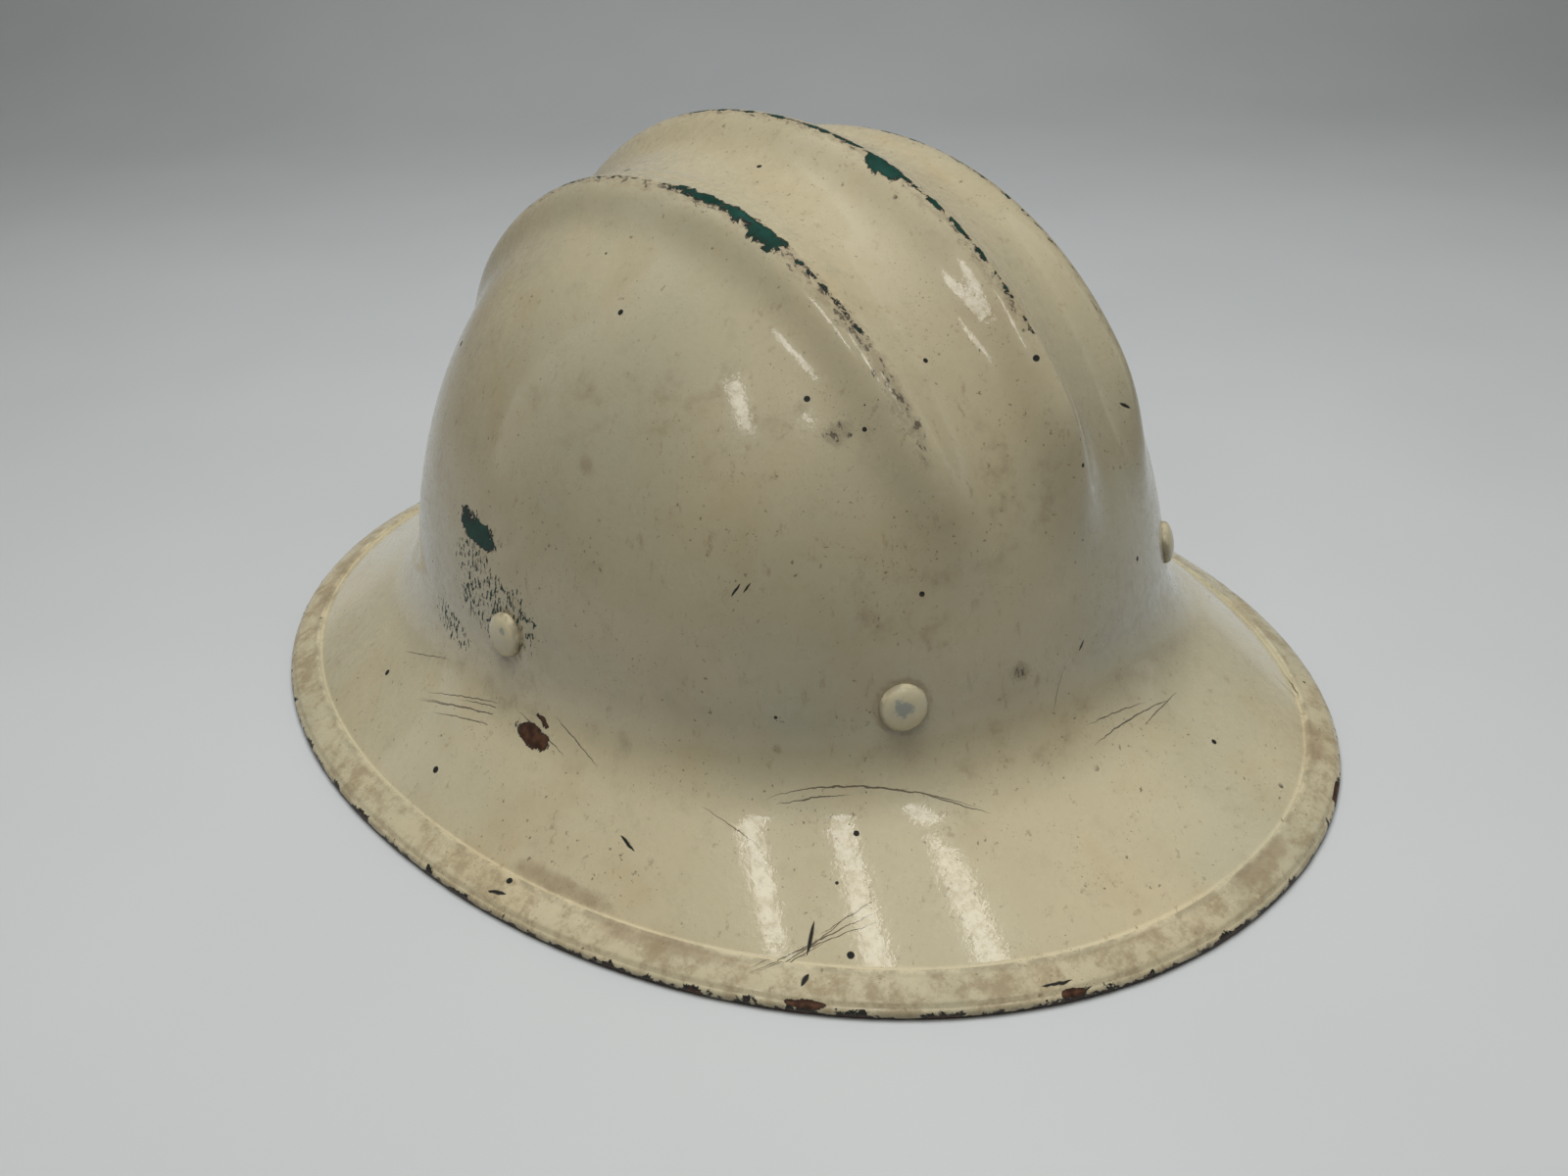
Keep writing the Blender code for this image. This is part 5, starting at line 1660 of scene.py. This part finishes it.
def make_strap_rivets(brass):
    r = STRAP_RIVET_RADIUS
    clinch = profile_from(STRAP_RIVET_CLINCH, -HEADBAND_THICKNESS - GAP)
    shank_radius = clinch[0][0]
    for place, s in STRAP_RIVETS.items():
        leather = STRAP_THICKNESS if place.startswith("left") else CHAPE_THICKNESS
        seat = 2 * GAP + leather
        head = [(r * sin(t), seat + 0.9 * MM * cos(t)) for t in np.linspace(0, 0.45 * pi, 9)]
        profile = head + [(r, seat), (shank_radius, seat)] + clinch
        name = "brass_rivet_" + place
        mesh = turned_mesh(name, profile, 32, strap_frame(s * MM, 0))
        rivet = add_piece(name, mesh, brass)
        sharpen(mesh, 50)
        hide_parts("strap_rivet_" + place)


# ---------------------------------------------------------------- camera, floor, light


def make_camera():
    """The camera at the photograph's viewing angle."""
    azimuth, elevation, roll = (radians(a) for a in (CAMERA_AZIMUTH, CAMERA_ELEVATION, CAMERA_ROLL))
    back = Vector((sin(azimuth) * cos(elevation), -cos(azimuth) * cos(elevation), sin(elevation)))
    right = (-back).cross(UP).normalized()
    up = right.cross(-back)
    x_axis = right * cos(roll) + up * sin(roll)
    y_axis = up * cos(roll) - right * sin(roll)
    data = bpy.data.cameras.new("camera")
    data.lens = LENS
    data.sensor_width = SENSOR_WIDTH
    data.sensor_fit = "HORIZONTAL"
    data.clip_start = 0.01
    camera = linked("camera", data)
    camera.matrix_world = frame_matrix(Vector(CAMERA_AIM) + back * CAMERA_DISTANCE, x_axis, y_axis)
    bpy.context.scene.camera = camera


def camera_directions():
    """Level unit vectors away from the photograph's camera and to its right."""
    azimuth = radians(CAMERA_AZIMUTH)
    away = Vector((-sin(azimuth), cos(azimuth), 0))
    return away, Vector((away.y, -away.x, 0))


def make_floor():
    """A pale paper sweep: flat under the hat, curving up behind it."""
    n = Nodes("pale_paper")
    colour = n.mix(n.ramp(n.noise(3, 3.0, 0.6), 0.3, 0.7), *PAPER_TONES)
    n.finish(colour, 0.55, n.bump(n.noise(900, 3.0), 0.05 * MM, 0.3))
    bend = arc((PAPER_FLAT, PAPER_BEND), PAPER_BEND, -90, 0, 16)
    profile = [(-PAPER_FAR, 0.0), (0.0, 0.0), *bend, (PAPER_FLAT + PAPER_BEND, PAPER_FAR)]
    away, side = camera_directions()
    rows = []
    for d, z in profile:
        rows.append([away * d + side * w + UP * z for w in (-PAPER_HALF_WIDTH, 0.0, PAPER_HALF_WIDTH)])
    mesh = grid_mesh("paper_sweep", rows)
    mesh.shade_smooth()
    mesh.materials.append(n.material)
    floor = linked("paper_sweep", mesh)


def area_light(name, place, size, power, colour=(1, 1, 1)):
    """A rectangular light that shines straight down."""
    data = bpy.data.lights.new(name, "AREA")
    data.shape = "RECTANGLE"
    data.size, data.size_y = size
    data.energy = power
    data.color = colour
    light = linked(name, data)
    light.location = place
    return light


def make_light():
    """Three small lamps above the camera, a soft ceiling, and light all round except from the front."""
    away, side = camera_directions()
    for name, offset in LAMP_SIDES.items():
        place = away * LAMP_FORWARD + side * offset + UP * LAMP_HEIGHT
        lamp = area_light(name, place, LAMP_SIZE, LAMP_POWER, LAMP_COLOUR)
        lamp.rotation_euler = (0, 0, atan2(away.y, away.x) - pi / 2)
    place = away * CEILING_FORWARD + UP * CEILING_HEIGHT
    ceiling = area_light("ceiling", place, (CEILING_SIZE, CEILING_SIZE), CEILING_POWER)
    ceiling.visible_glossy = False
    world = bpy.data.worlds.new("studio")
    world.use_nodes = True
    n = Nodes("studio", world.node_tree)
    background = n.tree.nodes["Background"].inputs
    background["Color"].default_value = AROUND_COLOUR
    direction = n.add("ShaderNodeTexCoord").outputs["Generated"]

    def towards(axis, low, high):
        """How far a direction of the world leans along an axis, from 0 at low to 1 at high."""
        along = n.add("ShaderNodeVectorMath", operation="DOT_PRODUCT")
        n.put(along.inputs[0], direction)
        along.inputs[1].default_value = axis
        return n.ramp(along.outputs["Value"], low, high)

    behind = n.blend(towards(away, FRONT_DARK, FRONT_LIGHT), FRONT_SHARE, 1.0)
    around = n.blend(towards(-side, -1.0, 1.0), AROUND_RIGHT, AROUND_LEFT)
    n.put(background["Strength"], n.times(behind, around))
    bpy.context.scene.world = world
    bpy.context.scene.view_settings.view_transform = "Standard"


# ---------------------------------------------------------------- build

make_camera()
make_floor()
make_light()
strokes = stroke_group()
cream_paint = painted_shell(strokes)
resin_canvas = laminate_material()
washer_metal = metal_material("dull_steel", *STEEL_TONES)
buckle_metal = metal_material("dull_nickel", *NICKEL_TONES)
rivet_brass = metal_material("tarnished_brass", *BRASS_TONES)
sweat_leather = leather_material("tan_leather", *TAN_LEATHER, 0.42)
strap_leather = leather_material("brown_leather", *BROWN_LEATHER, 0.38)
thread = thread_material()
make_shell(cream_paint, resin_canvas)
make_rivets(rivet_paint(), washer_metal)
make_cradle(webbing_material(), lace_material(), thread)
make_headband(fibre_material())
make_sweatband(sweat_leather, thread)
make_nape_strap(strap_leather, thread)
make_chape(strap_leather)
make_buckle(buckle_metal)
make_keeper(strap_leather)
make_strap_rivets(rivet_brass)
